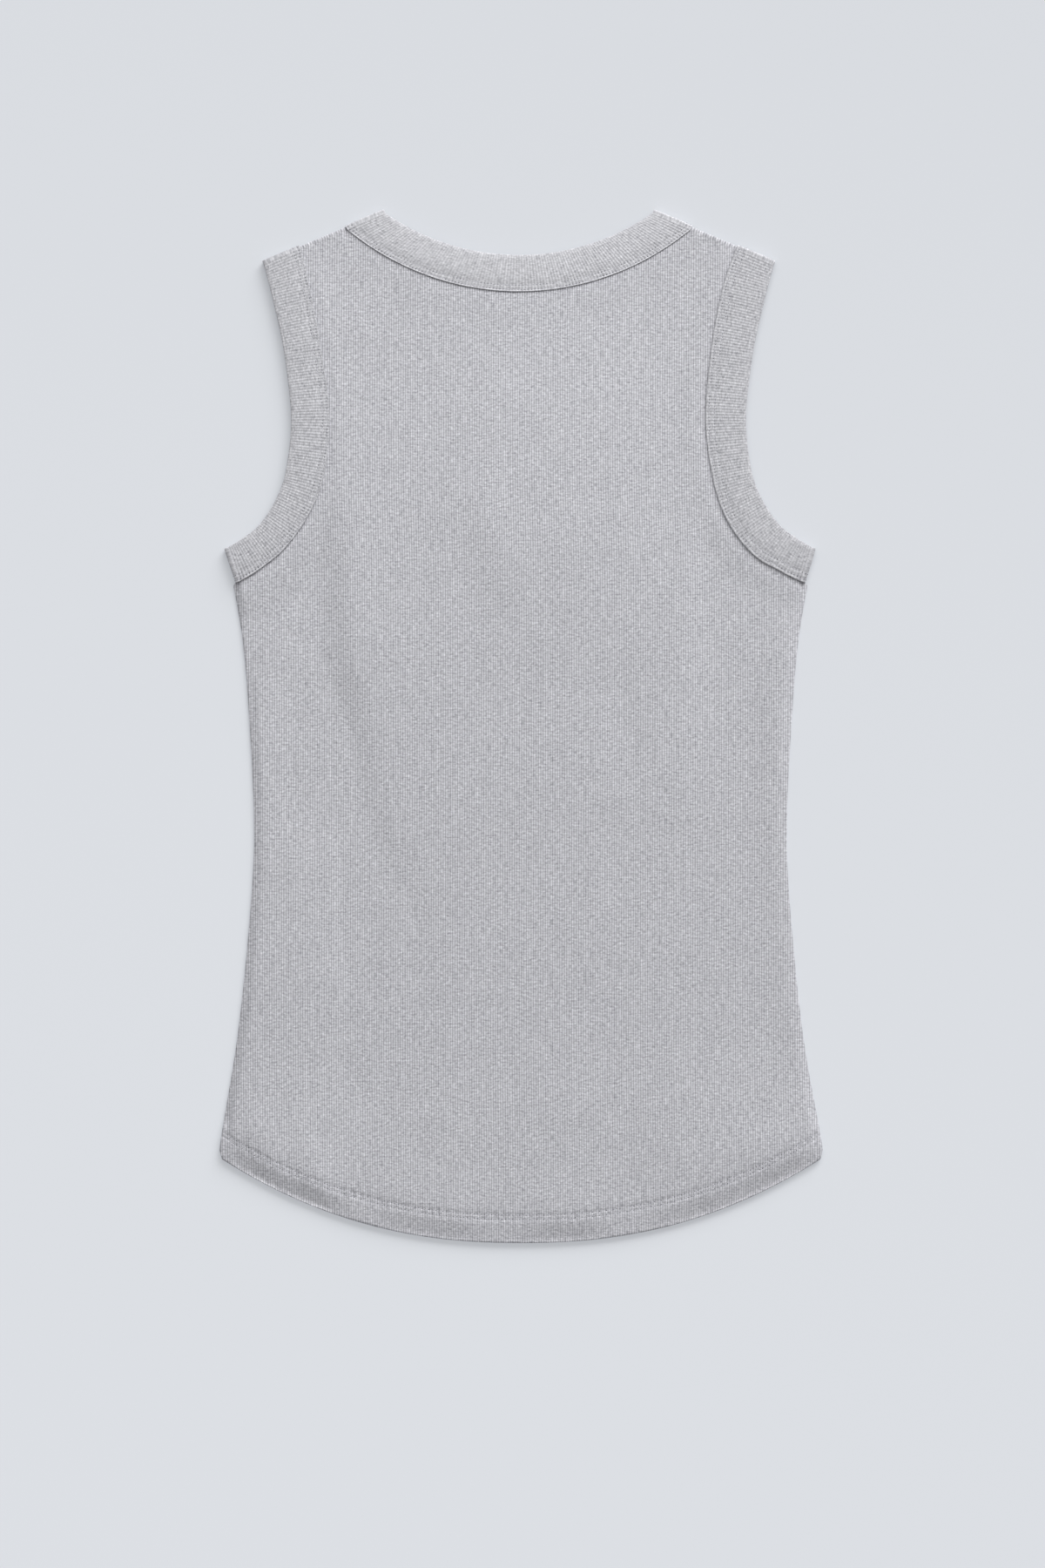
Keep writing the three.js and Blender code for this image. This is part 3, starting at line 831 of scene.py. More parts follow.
@dataclass(frozen=True)
class Coverstitch:
    """Twin rows of short stitches: their length, spacing, thread, and needle holes drawn as dark blobs of
    painted shade.
    """

    pitch: float = 2.2
    length: float = 1.35
    thread: float = 0.5
    hole_shade: float = 0.7
    unevenness: float = 0.1
    seed: int = 11

    def tree(self) -> bpy.types.NodeTree:
        """Builds the tree that sets a stitch and a needle hole, a dark blob of painted shade, at each step
        along its lines.
        """
        tree, start, end = new_geometry_tree(
            "Coverstitch",
            [
                ("Stitch pitch", "NodeSocketFloat"),
                ("Stitch length", "NodeSocketFloat"),
                ("Thread width", "NodeSocketFloat"),
                ("Hole shade width", "NodeSocketFloat"),
                ("Unevenness", "NodeSocketFloat"),
                ("Seed", "NodeSocketInt"),
                ("Thread", "NodeSocketMaterial"),
                ("Hole shade", "NodeSocketMaterial"),
            ],
        )
        sockets = start.outputs
        lines = add_node(tree, "GeometryNodeMeshToCurve", inputs={"Mesh": sockets["Geometry"]})
        steps = add_node(
            tree,
            "GeometryNodeResampleCurve",
            {"mode": "LENGTH"},
            {"Curve": lines.outputs[0], "Length": sockets["Stitch pitch"]},
        )
        tangent = add_node(tree, "GeometryNodeInputTangent")
        upward = add_node(
            tree, "GeometryNodeInputNamedAttribute", {"data_type": "FLOAT_VECTOR"}, {"Name": "up"}
        )
        along = add_node(
            tree,
            "FunctionNodeAlignRotationToVector",
            {"axis": "X"},
            {"Vector": tangent.outputs[0]},
        )
        turned = add_node(
            tree,
            "FunctionNodeAlignRotationToVector",
            {"axis": "Z", "pivot_axis": "X"},
            {"Rotation": along.outputs[0], "Vector": upward.outputs["Attribute"]},
        )
        least, most = (calculated(tree, way, 1.0, sockets["Unevenness"]) for way in ("SUBTRACT", "ADD"))
        size = add_node(
            tree,
            "FunctionNodeRandomValue",
            {"data_type": "FLOAT"},
            {2: least, 3: most, "Seed": sockets["Seed"]},
        )
        half_pitch = calculated(tree, "MULTIPLY", sockets["Stitch pitch"], 0.5)
        between = add_node(
            tree,
            "GeometryNodeSetPosition",
            inputs={
                "Geometry": steps.outputs[0],
                "Offset": scaled(tree, tangent.outputs[0], half_pitch),
            },
        )
        parts = []
        # Where each goes, its length, its width, its height as a share of that, its rounding and its finish
        shapes = (
            (steps, "Stitch length", "Thread width", 0.75, 2, "Thread"),
            # The needle holes: flat dark blobs of painted shade where the cloth is drawn down
            (between, "Hole shade width", "Hole shade width", 0.3, 1, "Hole shade"),
        )
        for places, length, width, flatness, rounds, finish in shapes:
            ball = add_node(tree, "GeometryNodeMeshIcoSphere", inputs={"Radius": 0.5, "Subdivisions": rounds})
            low = calculated(tree, "MULTIPLY", sockets[width], flatness)
            sizes = add_node(
                tree, "ShaderNodeCombineXYZ", inputs={0: sockets[length], 1: sockets[width], 2: low}
            )
            shape = add_node(
                tree,
                "GeometryNodeTransform",
                inputs={"Geometry": ball.outputs[0], "Scale": sizes.outputs[0]},
            )
            copies = add_node(
                tree,
                "GeometryNodeInstanceOnPoints",
                inputs={
                    "Points": places.outputs[0],
                    "Instance": shape.outputs[0],
                    "Rotation": turned.outputs[0],
                    "Scale": size.outputs[1],
                },
            )
            plain = add_node(tree, "GeometryNodeRealizeInstances", inputs={"Geometry": copies.outputs[0]})
            dressed = add_node(
                tree,
                "GeometryNodeSetMaterial",
                inputs={"Geometry": plain.outputs[0], "Material": sockets[finish]},
            )
            parts.append(dressed.outputs[0])
        joined = add_node(tree, "GeometryNodeJoinGeometry")
        for part in parts:
            tree.links.new(part, joined.inputs[0])
        rounded = add_node(tree, "GeometryNodeSetShadeSmooth", inputs={"Geometry": joined.outputs[0]})
        tree.links.new(rounded.outputs[0], end.inputs[0])
        return tree

    def sew(
        self, name: str, rows: list["StitchRow"], tree: bpy.types.NodeTree, thread: bpy.types.Material,
        hole_shade: bpy.types.Material,
    ) -> bpy.types.Object:
        """Makes the stitches of one seam.

        Args:
            name: The piece's name.
            rows: The seam's lines.
            tree: The stitches' Geometry Nodes tree.
            thread: The thread's material.
            hole_shade: The needle holes' material, a dark grey of painted shade.

        Returns:
            The finished piece.
        """
        points, upward, edges = [], [], []
        for row in rows:
            first = sum(len(part) for part in points)
            count = len(row.points)
            last = count if row.is_closed else count - 1
            edges += [(first + i, first + (i + 1) % count) for i in range(last)]
            points.append(row.points)
            upward.append(row.up)
        mesh = bpy.data.meshes.new(name)
        mesh.from_pydata((np.concatenate(points) * MM).tolist(), edges, [])
        stored = mesh.attributes.new("up", "FLOAT_VECTOR", "POINT")
        stored.data.foreach_set("vector", np.concatenate(upward).astype(np.float32).ravel())
        piece = put_in_scene(name, mesh)
        values = {
            "Stitch pitch": self.pitch * MM,
            "Stitch length": self.length * MM,
            "Thread width": self.thread * MM,
            "Hole shade width": self.hole_shade * MM,
            "Unevenness": self.unevenness,
            "Seed": self.seed,
            "Thread": thread,
            "Hole shade": hole_shade,
        }
        return run_tree(piece, tree, values)


class StitchRow(NamedTuple):
    """One line of stitches: its points and the way out of the cloth at each."""

    points: np.ndarray
    up: np.ndarray
    is_closed: bool


# Meshes


@dataclass
class ClothMesh:
    """Points and faces of a cloth piece, with where each point lies in its knit."""

    points: np.ndarray
    faces: list
    knit: np.ndarray
    rib_phase: np.ndarray
    rib_weight: np.ndarray

    def volume(self) -> float:
        """Six times the signed volume inside, above 0 where the faces point outwards."""
        total = 0.0
        for size in (3, 4):
            rows = np.array([f for f in self.faces if len(f) == size], int).reshape(-1, size)
            for k in range(1, size - 1):
                a, b, c = (self.points[rows[:, i]] for i in (0, k, k + 1))
                total += float(np.einsum("ij,ij->i", a, np.cross(b, c)).sum())
        return total

    def to_object(self, name: str) -> bpy.types.Object:
        """Makes a smooth Blender object, its faces pointing outwards and its knit map in metres."""
        flip = self.volume() < 0
        faces = [f[::-1] for f in self.faces] if flip else self.faces
        knit = self.knit
        if knit.ndim == 3:
            knit = knit[:, ::-1] if flip else knit
            corner_knit = knit.reshape(-1, 2)
        else:
            corner_knit = knit[np.concatenate([np.array(f) for f in faces])]
        mesh = bpy.data.meshes.new(name)
        mesh.from_pydata((self.points * MM).tolist(), [], [list(map(int, f)) for f in faces])
        layer = mesh.uv_layers.new(name=KNIT_MAP)
        layer.uv.foreach_set("vector", (corner_knit * MM).astype(np.float32).ravel())
        for label, values in (("rib_phase", self.rib_phase), ("rib_weight", self.rib_weight)):
            stored = mesh.attributes.new(label, "FLOAT", "POINT")
            stored.data.foreach_set("value", values.astype(np.float32))
        mesh.shade_smooth()
        mesh.update()
        return put_in_scene(name, mesh)


class Sheet(NamedTuple):
    """One face of a panel: plan places, turn round the shoulder fold, and faces."""

    half: np.ndarray
    y: np.ndarray
    turn: np.ndarray
    faces: list


def rim_of(faces: list, count: int) -> list[int]:
    """The closed line of points round a sheet's open edge, in the direction of its faces."""
    following = {}
    edges = set()
    for face in faces:
        for a, b in zip(face, (*face[1:], face[0])):
            edges.add(a * count + b)
    for code in edges:
        a, b = divmod(code, count)
        if b * count + a not in edges:
            following[a] = b
    line = [next(iter(following))]
    while following[line[-1]] != line[0]:
        line.append(following[line[-1]])
    return line


def wall_between(points: np.ndarray, outer: list[int], inner: list[int], start: np.ndarray) -> list:
    """Closes the wall between two rims that follow each other.

    Args:
        points: All points.
        outer: The rim of the outer sheet, in the direction of its faces.
        inner: The rim of the inner sheet, in the same direction round.
        start: A place near which both rims begin.

    Returns:
        Triangles from rim to rim.
    """

    def begun(rim: list[int], at: np.ndarray) -> list[int]:
        """A rim that begins and ends at its point nearest to a place."""
        nearest = int(np.linalg.norm(points[rim] - at, axis=1).argmin())
        return [*rim[nearest:], *rim[: nearest + 1]]

    outer = begun(outer, start)
    inner = begun(inner, points[outer[0]])
    apart = np.linalg.norm(points[inner][:, None] - points[outer][None], axis=2)
    opposite = np.maximum.accumulate([0, *apart[1:-1].argmin(axis=1), len(outer) - 1])
    made = []
    for j, (here, there) in enumerate(zip(opposite[:-1], opposite[1:])):
        halfway = (here + there) // 2
        made += [(outer[i + 1], outer[i], inner[j]) for i in range(here, halfway)]
        made.append((inner[j], inner[j + 1], outer[halfway]))
        made += [(outer[i + 1], outer[i], inner[j + 1]) for i in range(halfway, there)]
    return made


@dataclass
class BodyPanel:
    """A front or back panel: a ribbed outer sheet and a plain inner one, closed all round."""

    name: str
    face: Face
    cut: GarmentCut
    laid: LaidCloth
    rib: RibKnit = BODY_RIB
    row_step: float = 6.6
    margin: float = 3.0
    fold_steps: int = 4
    inner_column: float = 9.0
    underarm_levels: tuple[float, float] = (1.615, 1.71)
    underarm_rows: int = 16
    hem_offsets: tuple[float, ...] = (
        0, 0.35, 0.9, 1.7, 3.5, 6, 8.5, 11, 13, 14, 14.6, 15.1, 15.7, 16.4, 17.1, 17.7, 18.3, 19, 20.5, 23,
        27, 32,
    )
    side_points: int = 60
    armhole_points: int = 90
    snap_share: float = 0.3
    stitched_half: int = 184
    stitch_sink: float = 0.35

    def levels(self, step: float) -> np.ndarray:
        """The rows: 0 to 1 through the hem, then 1 to 2, closer together where the underarm turns."""
        zone = self.hem_offsets[-1]
        height = self.cut.back_seam_y - self.cut.hem_y(np.zeros(1))[0] - zone
        start, end = self.underarm_levels
        below = np.linspace(1, start, round((start - 1) * height / step) + 1)[1:]
        beside = np.linspace(start, end, self.underarm_rows + 1)[1:]
        above = np.linspace(end, 2, round((2 - end) * height / step) + 1)[1:]
        return np.concatenate([np.array(self.hem_offsets) / zone, below, beside, above])

    def row_y(self, level: float, half: np.ndarray) -> np.ndarray:
        """The level in millimetres of a row at distances from the middle."""
        zone = self.hem_offsets[-1]
        bottom = self.cut.hem_y(half)
        if level <= 1:
            return bottom + level * zone
        return mix(bottom + zone, self.cut.top_y(self.face, half, self.margin), level - 1)

    def limits(self, side: Side, levels: np.ndarray) -> np.ndarray:
        """How far each row reaches from the middle to the side seam or the armhole."""
        side_top = self.cut.underarm_y - self.cut.seam_drop
        side_y = np.linspace(self.cut.hem_corner_y, side_top, self.side_points)
        sections = self.cut.armhole(side, self.face, np.linspace(1, 0, self.armhole_points))
        inside = sections.seam - sections.across * self.margin
        half = np.concatenate([SIDE_SEAM(side_y), inside[:, 0]])
        y = np.concatenate([side_y, inside[:, 1]])
        zone, bottom = self.hem_offsets[-1], self.cut.hem_y(half)
        top = self.cut.top_y(self.face, half, self.margin)
        rise = y - bottom
        level = np.where(rise < zone, rise / zone, 1 + (rise - zone) / (top - bottom - zone))
        order = np.maximum.accumulate(level)
        return np.interp(levels, order, half)

    def neck_corner(self) -> float:
        """Distance from the middle at which the neck's seam meets the shoulder's fold."""
        half = np.linspace(60, 140, 1601)
        at_shoulder = self.cut.top_y(self.face, half, self.margin) >= self.cut.shoulder_y(half) - 1e-6
        return float(half[at_shoulder.argmax()])

    def sheet(self, levels: np.ndarray, column: float) -> Sheet:
        """Lays points in columns of equal spacing on every row and joins them.

        Args:
            levels: The rows.
            column: The spacing of the columns, which stay upright as ribs do.

        Returns:
            The sheet, its faces turned up.
        """
        count = math.ceil(SIDE_SEAM(self.cut.hem_corner_y + 5) / column) + 1
        columns = np.arange(-count, count + 1) * column
        reach = {side: self.limits(side, levels) for side in Side}
        turns = np.linspace(0, 1, self.fold_steps + 1)[1:]
        reaches = zip(levels, reach[Side.LEFT], reach[Side.RIGHT])
        rows = [(level, 0.0, -left, right) for level, left, right in reaches]
        rows += [(levels[-1], turn, rows[-1][2], rows[-1][3]) for turn in turns]
        ids = np.full((len(rows), len(columns)), -1)
        half, y, turned = [], [], []
        used = 0
        snap = column * self.snap_share
        inner = self.neck_corner()
        for r, (level, turn, left, right) in enumerate(rows):
            spans = [(left, right)] if turn == 0 else [(left, -inner), (inner, right)]
            for low, high in spans:
                within = np.flatnonzero((columns > low + snap) & (columns < high - snap))
                places = np.concatenate([[low], columns[within], [high]])
                ids[r, within] = used + 1 + np.arange(len(within))
                outside_low = slice(0, within[0]) if low == left else slice(within[0] - 1, within[0])
                outside_high = (
                    slice(within[-1] + 1, None) if high == right else slice(within[-1] + 1, within[-1] + 2)
                )
                ids[r, outside_low] = used
                ids[r, outside_high] = used + len(places) - 1
                half.append(places)
                y.append(self.row_y(level, places))
                turned.append(np.full(len(places), turn))
                used += len(places)
        a, b, c, d = (part.ravel() for part in (ids[:-1, :-1], ids[:-1, 1:], ids[1:, 1:], ids[1:, :-1]))
        faces = []
        for corners in np.stack([a, b, c, d], axis=1)[(np.minimum.reduce([a, b, c, d]) >= 0)].tolist():
            face = [p for k, p in enumerate(corners) if p != corners[k - 1]]
            if len(face) > 2:
                faces.append(tuple(face))
        return Sheet(np.concatenate(half), np.concatenate(y), np.concatenate(turned), faces)

    def points_of(self, sheet: Sheet, is_outer: bool) -> np.ndarray:
        """The points of one face, with the shoulder's end turned down round its fold."""
        layers, cut = self.cut.layers, self.cut
        outer, inner = self.laid.faces(self.face, sheet.half, sheet.y)
        plan = cut.place(sheet.half, sheet.y)
        points = np.column_stack([plan, outer if is_outer else inner])
        radius = layers.fold_inner + (layers.cloth if is_outer else 0)
        out, up = pressed(sheet.turn * math.acos((layers.gap / 2 / radius) ** 2))
        folded = sheet.turn > 0
        sideways = np.sign(sheet.half) * cut.shoulder_out[0]
        outward = np.stack([sideways, np.full(len(sideways), cut.shoulder_out[1])], axis=1)
        points[folded, :2] += (outward * (radius * out)[:, None])[folded]
        points[folded, 2] = (layers.fold_axis + self.face.value * radius * up)[folded]
        return points

    def build(self) -> ClothMesh:
        """Makes the closed panel."""
        outer = self.sheet(self.levels(self.row_step), self.rib.pitch / self.rib.columns)
        inner = self.sheet(self.levels(self.row_step * 2), self.inner_column)
        outer_points, inner_points = self.points_of(outer, True), self.points_of(inner, False)
        points = np.concatenate([outer_points, inner_points])
        shift = len(outer_points)
        lower = [tuple(p + shift for p in reversed(face)) for face in inner.faces]
        count = len(points)
        outer_rim = rim_of(outer.faces, count)
        inner_rim = rim_of(lower, count)[::-1]
        middle_hem = np.array([0, self.cut.hem_y(np.zeros(1))[0], 0])
        faces = outer.faces + lower + wall_between(points, outer_rim, inner_rim, middle_hem)
        half = np.concatenate([outer.half, inner.half])
        y = np.concatenate([outer.y, inner.y])
        local = self.laid.thickness(outer.half, outer.y) - self.laid.edge_loss(outer.half, outer.y)
        from_fold = self.laid.to_shoulder(outer.half, outer.y) / self.cut.layers.fold_axis
        flat_share = smooth(from_fold - 1)
        ribbed = np.clip((local - self.laid.left_at_edge) / self.rib.depth, 0, 1) * flat_share
        weight = np.concatenate([ribbed, np.zeros(len(inner.half))])
        return ClothMesh(points, faces, np.column_stack([half, y]), half / self.rib.pitch, weight)

    def area(self) -> float:
        """The cut's flat area in square metres."""
        levels = self.levels(self.row_step)
        left, right = (self.limits(side, levels) for side in Side)
        total = 0.0
        for low, high, a, b in zip(levels[:-1], levels[1:], left, right):
            half = np.linspace(-a, b, 41)
            height = self.row_y(high, half) - self.row_y(low, half)
            total += float(np.mean(height)) * (a + b)
        return total * MM * MM

    def hem_rows(self) -> list[StitchRow]:
        """The hem's two rows of stitches."""
        rows = []
        for level in self.laid.stitch_levels:
            half = np.linspace(-self.stitched_half, self.stitched_half, 2 * self.stitched_half + 1)
            y = self.cut.hem_y(half) + level
            outer, _ = self.laid.faces(self.face, half, y)
            points = np.column_stack([self.cut.place(half, y), outer])
            up = np.tile([0.0, 0.0, float(self.face.value)], (len(half), 1))
            rows.append(StitchRow(points - up * BODY_RIB.depth * self.stitch_sink, up, False))
        return rows


# Bindings


class BandPoint(NamedTuple):
    """A point of a binding's section: at a share of its width and an offset, at a height, ribbed or not."""

    share: float
    offset: float
    height: float
    rib: float


@dataclass
class BandTrack:
    """The course of a binding round its opening, over the back, through a fold and along the front."""

    edge: np.ndarray
    seam: np.ndarray
    outward: np.ndarray
    angle: np.ndarray
    axis: float
    gap: float

    def at(self, across: np.ndarray, height: float) -> np.ndarray:
        """Points at a distance across from the opening edge and a height above the inner face."""
        width = np.linalg.norm(self.seam - self.edge, axis=1, keepdims=True)
        plan = self.edge + (self.seam - self.edge) * (across[:, None] / width)
        radius = self.gap / 2 + height
        out, up = pressed(self.angle)
        plan = plan + self.outward * (radius * out)[:, None]
        return np.column_stack([plan, self.axis + radius * up])

    def widths(self) -> np.ndarray:
        """The binding's width at each section."""
        return np.linalg.norm(self.seam - self.edge, axis=1)

    def up(self) -> np.ndarray:
        """The way out of the cloth at each section."""
        return np.column_stack([self.outward * np.sin(self.angle)[:, None], np.cos(self.angle)])

    def middle_line(self) -> np.ndarray:
        """The line half across the binding, at half its thickness."""
        return self.at(self.widths() / 2, self.axis / 2)

    def length(self) -> float:
        """The length of the closed middle line."""
        line = self.middle_line()
        return float(np.linalg.norm(np.roll(line, -1, axis=0) - line, axis=1).sum())

    def resampled(self, count: int) -> "BandTrack":
        """The same course in sections at equal distances along its middle line."""
        line = self.middle_line()
        steps = np.linalg.norm(np.roll(line, -1, axis=0) - line, axis=1)
        passed = np.concatenate([[0.0], np.cumsum(steps)])
        wanted = np.arange(count) / count * passed[-1]

        def spread(values: np.ndarray) -> np.ndarray:
            """A size of every section, read at the new sections."""
            closed = np.concatenate([values, values[:1]])
            return np.stack([np.interp(wanted, passed, column) for column in closed.T], axis=-1)

        angle = spread(self.angle[:, None])[:, 0]
        return BandTrack(
            spread(self.edge), spread(self.seam), spread(self.outward), angle, self.axis, self.gap
        )


@dataclass
class RibBinding:
    """A strip of rib wrapped round an opening's edge and sewn down by twin stitches."""

    name: str
    cut: GarmentCut
    stitch_distances: tuple[float, float]
    rib: RibKnit = BINDING_RIB
    slot: tuple[float, float] = (0.8, 1.88)
    crown: float = 0.4
    channel: float = 0.26
    channel_half: float = 0.75
    stitch_sink: float = 0.3
    dense_steps: int = 240
    fold_dense_steps: int = 24

    def flat(self, side: Side, face: Face, share: np.ndarray) -> tuple[np.ndarray, np.ndarray]:
        """The opening and seam edges along one flat stretch, in plan places."""
        raise NotImplementedError

    def stretches(self) -> list[tuple]:
        """The flat stretches and folds in order, as (side, face, shares) or (side, outward, rising)."""
        raise NotImplementedError

    def track(self) -> BandTrack:
        """Follows the whole opening in fine steps."""
        edge, seam, outward, angle = [], [], [], []
        for stretch in self.stretches():
            side = stretch[0]
            if isinstance(stretch[1], Face):
                edges, seams = self.flat(side, stretch[1], stretch[2])
                sign = np.array([side.value, 1])
                edges, seams = edges * sign, seams * sign
                edge.append(self.cut.place(edges[:, 0], edges[:, 1]))
                seam.append(self.cut.place(seams[:, 0], seams[:, 1]))
                outward.append(np.zeros_like(edges))
                angle.append(np.full(len(edges), 0.0 if stretch[1] is Face.BACK else np.pi))
            else:
                turn = np.linspace(0, np.pi, self.fold_dense_steps + 2)[1:-1]
                way = np.array([side.value, 1]) * stretch[1]
                edge.append(np.tile(edge[-1][-1], (len(turn), 1)))
                seam.append(np.tile(seam[-1][-1], (len(turn), 1)))
                outward.append(np.tile(way, (len(turn), 1)))
                angle.append(turn[::-1] if stretch[2] else turn)
        joined = [np.concatenate(parts) for parts in (edge, seam, outward, angle)]
        return BandTrack(*joined, self.cut.layers.fold_axis, self.cut.layers.gap)

    def profile(self) -> list[BandPoint]:
        """The strip's section, from the lip at the seam over the top, round the edge and back inside."""
        top, round_radius = self.cut.layers.binding, self.cut.layers.binding / 2
        low, high = self.slot
        near, far = self.stitch_distances
        points = [
            BandPoint(1, -0.5, high, 0),
            BandPoint(1, -0.05, high + 0.25, 0),
            BandPoint(1, 0, top - 0.2, 0),
            BandPoint(1, -0.1, top - 0.05, 0),
            BandPoint(1, -0.4, top + 0.03, 0.3),
        ]
        for distance in (near, far):
            points += [
                BandPoint(1, -(distance - self.channel_half), top - 0.03, 1),
                BandPoint(1, -distance, top - self.channel, 1),
                BandPoint(1, -(distance + self.channel_half), top - 0.03, 1),
            ]
        points += [
            BandPoint(0.62, 0, top, 1),
            BandPoint(0.46, 0, top, 1),
            BandPoint(0.3, 0, top, 1),
            BandPoint(0.17, 0, top, 1),
            BandPoint(0.06, round_radius, top, 0.7),
        ]
        for out, up in zip(*pressed(np.linspace(0, np.pi, 9)[1:-1])):
            points.append(BandPoint(0, round_radius * (1 - out), round_radius * (1 + up), 0.15 * up**2))
        points += [
            BandPoint(0.06, round_radius, 0, 1),
            BandPoint(0.5, 0, 0, 1),
            BandPoint(1, -1.2, 0, 1),
            BandPoint(1, -0.7, 0.2, 0.3),
            BandPoint(1, -0.7, low - 0.2, 0),
            BandPoint(1, -1.0, low, 0),
            BandPoint(0.3, 0, low, 0),
            BandPoint(0.3, 0, high, 0),
        ]
        return points

    def crown_at(self, point: BandPoint, track: BandTrack, widths: np.ndarray) -> np.ndarray:
        """How far a point of the outer ply swells up where the binding lies on top."""
        share = np.clip((point.share * widths + point.offset) / widths, 0, 1)
        on_top = np.clip(np.cos(track.angle), 0, 1)
        outer = 1.0 if point.height > self.slot[1] else 0.0
        return self.crown * 4 * share * (1 - share) * on_top * outer

    def build(self) -> tuple[ClothMesh, BandTrack]:
        """Makes the closed ring of sections and returns it with its course."""
        dense = self.track()
        length = dense.length()
        ribs = round(length / self.rib.pitch)
        count = ribs * self.rib.columns
        track = dense.resampled(count)
        profile = self.profile()
        widths = track.widths()
        rings = [
            track.at(p.share * widths + p.offset, p.height + self.crown_at(p, track, widths)) for p in profile
        ]
        points = np.stack(rings, axis=1).reshape(-1, 3)
        around = len(profile)
        phase = np.arange(count) / self.rib.columns
        section = np.array([(p.share * widths.mean() + p.offset, p.height) for p in profile])
        girth = np.linalg.norm(np.roll(section, -1, axis=0) - section, axis=1)
        passed = np.concatenate([[0.0], np.cumsum(girth)])
        s, i = (part.ravel() for part in np.meshgrid(np.arange(count), np.arange(around), indexing="ij"))
        t, j = (s + 1) % count, (i + 1) % around
        faces = np.stack([s * around + i, s * around + j, t * around + j, t * around + i], axis=1)
        u = np.stack([s, s, s + 1, s + 1], axis=1) / self.rib.columns * self.rib.pitch
        v = np.stack([passed[i], passed[i + 1], passed[i + 1], passed[i]], axis=1)
        mesh = ClothMesh(
            points,
            [tuple(face) for face in faces.tolist()],
            np.stack([u, v], axis=-1),
            np.repeat(phase, around),
            np.tile([p.rib for p in profile], count),
        )
        return mesh, track

    def stitch_rows(self, track: BandTrack) -> list[StitchRow]:
        """The binding's two rows of stitches, all round the opening."""
        height = self.cut.layers.binding - self.channel - self.rib.depth * self.stitch_sink
        widths = track.widths()
        rows = []
        for distance in self.stitch_distances:
            crown = self.crown_at(BandPoint(1, -distance, height, 1), track, widths)
            rows.append(StitchRow(track.at(widths - distance, height + crown), track.up(), True))
        return rows


@dataclass
class Armband(RibBinding):
    """The binding of one armhole."""

    side: Side = Side.LEFT

    def flat(self, side: Side, face: Face, share: np.ndarray) -> tuple[np.ndarray, np.ndarray]:
        """The opening and seam edges along one layer of the armhole."""
        sections = self.cut.armhole(side, face, share)
        return sections.edge, sections.seam

    def stretches(self) -> list[tuple]:
        """Up the back, over the shoulder, down the front and through the underarm."""
        down = np.linspace(0, 1, self.dense_steps)
        return [
            (self.side, Face.BACK, down[::-1]),
            (self.side, self.cut.shoulder_out, False),
            (self.side, Face.FRONT, down),
            (self.side, self.cut.underarm_out, True),
        ]


@dataclass
class Neckband(RibBinding):
    """The binding of the neck."""

    def flat(self, side: Side, face: Face, share: np.ndarray) -> tuple[np.ndarray, np.ndarray]:
        """The opening and seam edges along one half of one layer of the neck."""
        return self.cut.neck(face, False, share), self.cut.neck(face, True, share)

    def stretches(self) -> list[tuple]:
        """Across the back, over the right shoulder, round the front and over the left shoulder."""
        out = np.linspace(0, 1, self.dense_steps)
        return [
            (Side.LEFT, Face.BACK, out[::-1]),
            (Side.RIGHT, Face.BACK, out[1:]),
            (Side.RIGHT, self.cut.shoulder_out, False),
            (Side.RIGHT, Face.FRONT, out[::-1]),
            (Side.LEFT, Face.FRONT, out[1:]),
            (Side.LEFT, self.cut.shoulder_out, True),
        ]


# Finishes


def linear(hex_colour: str) -> tuple[float, float, float, float]:
    """Turns an sRGB colour such as '#DCDFE4' into Blender's linear one."""
    parts = [int(hex_colour[i : i + 2], 16) / 255 for i in (1, 3, 5)]
    return (*[p / 12.92 if p <= 0.04045 else ((p + 0.055) / 1.055) ** 2.4 for p in parts], 1.0)


def new_material(name: str) -> tuple[bpy.types.Material, bpy.types.NodeTree]:
    """An empty node material and its tree."""
    material = bpy.data.materials.new(name)
    material.use_nodes = True
    material.node_tree.nodes.clear()
    return material, material.node_tree


def finish_with(tree: bpy.types.NodeTree, shader: bpy.types.NodeSocket) -> None:
    """Ends a material's tree in its surface output."""
    add_node(tree, "ShaderNodeOutputMaterial", inputs={"Surface": shader})


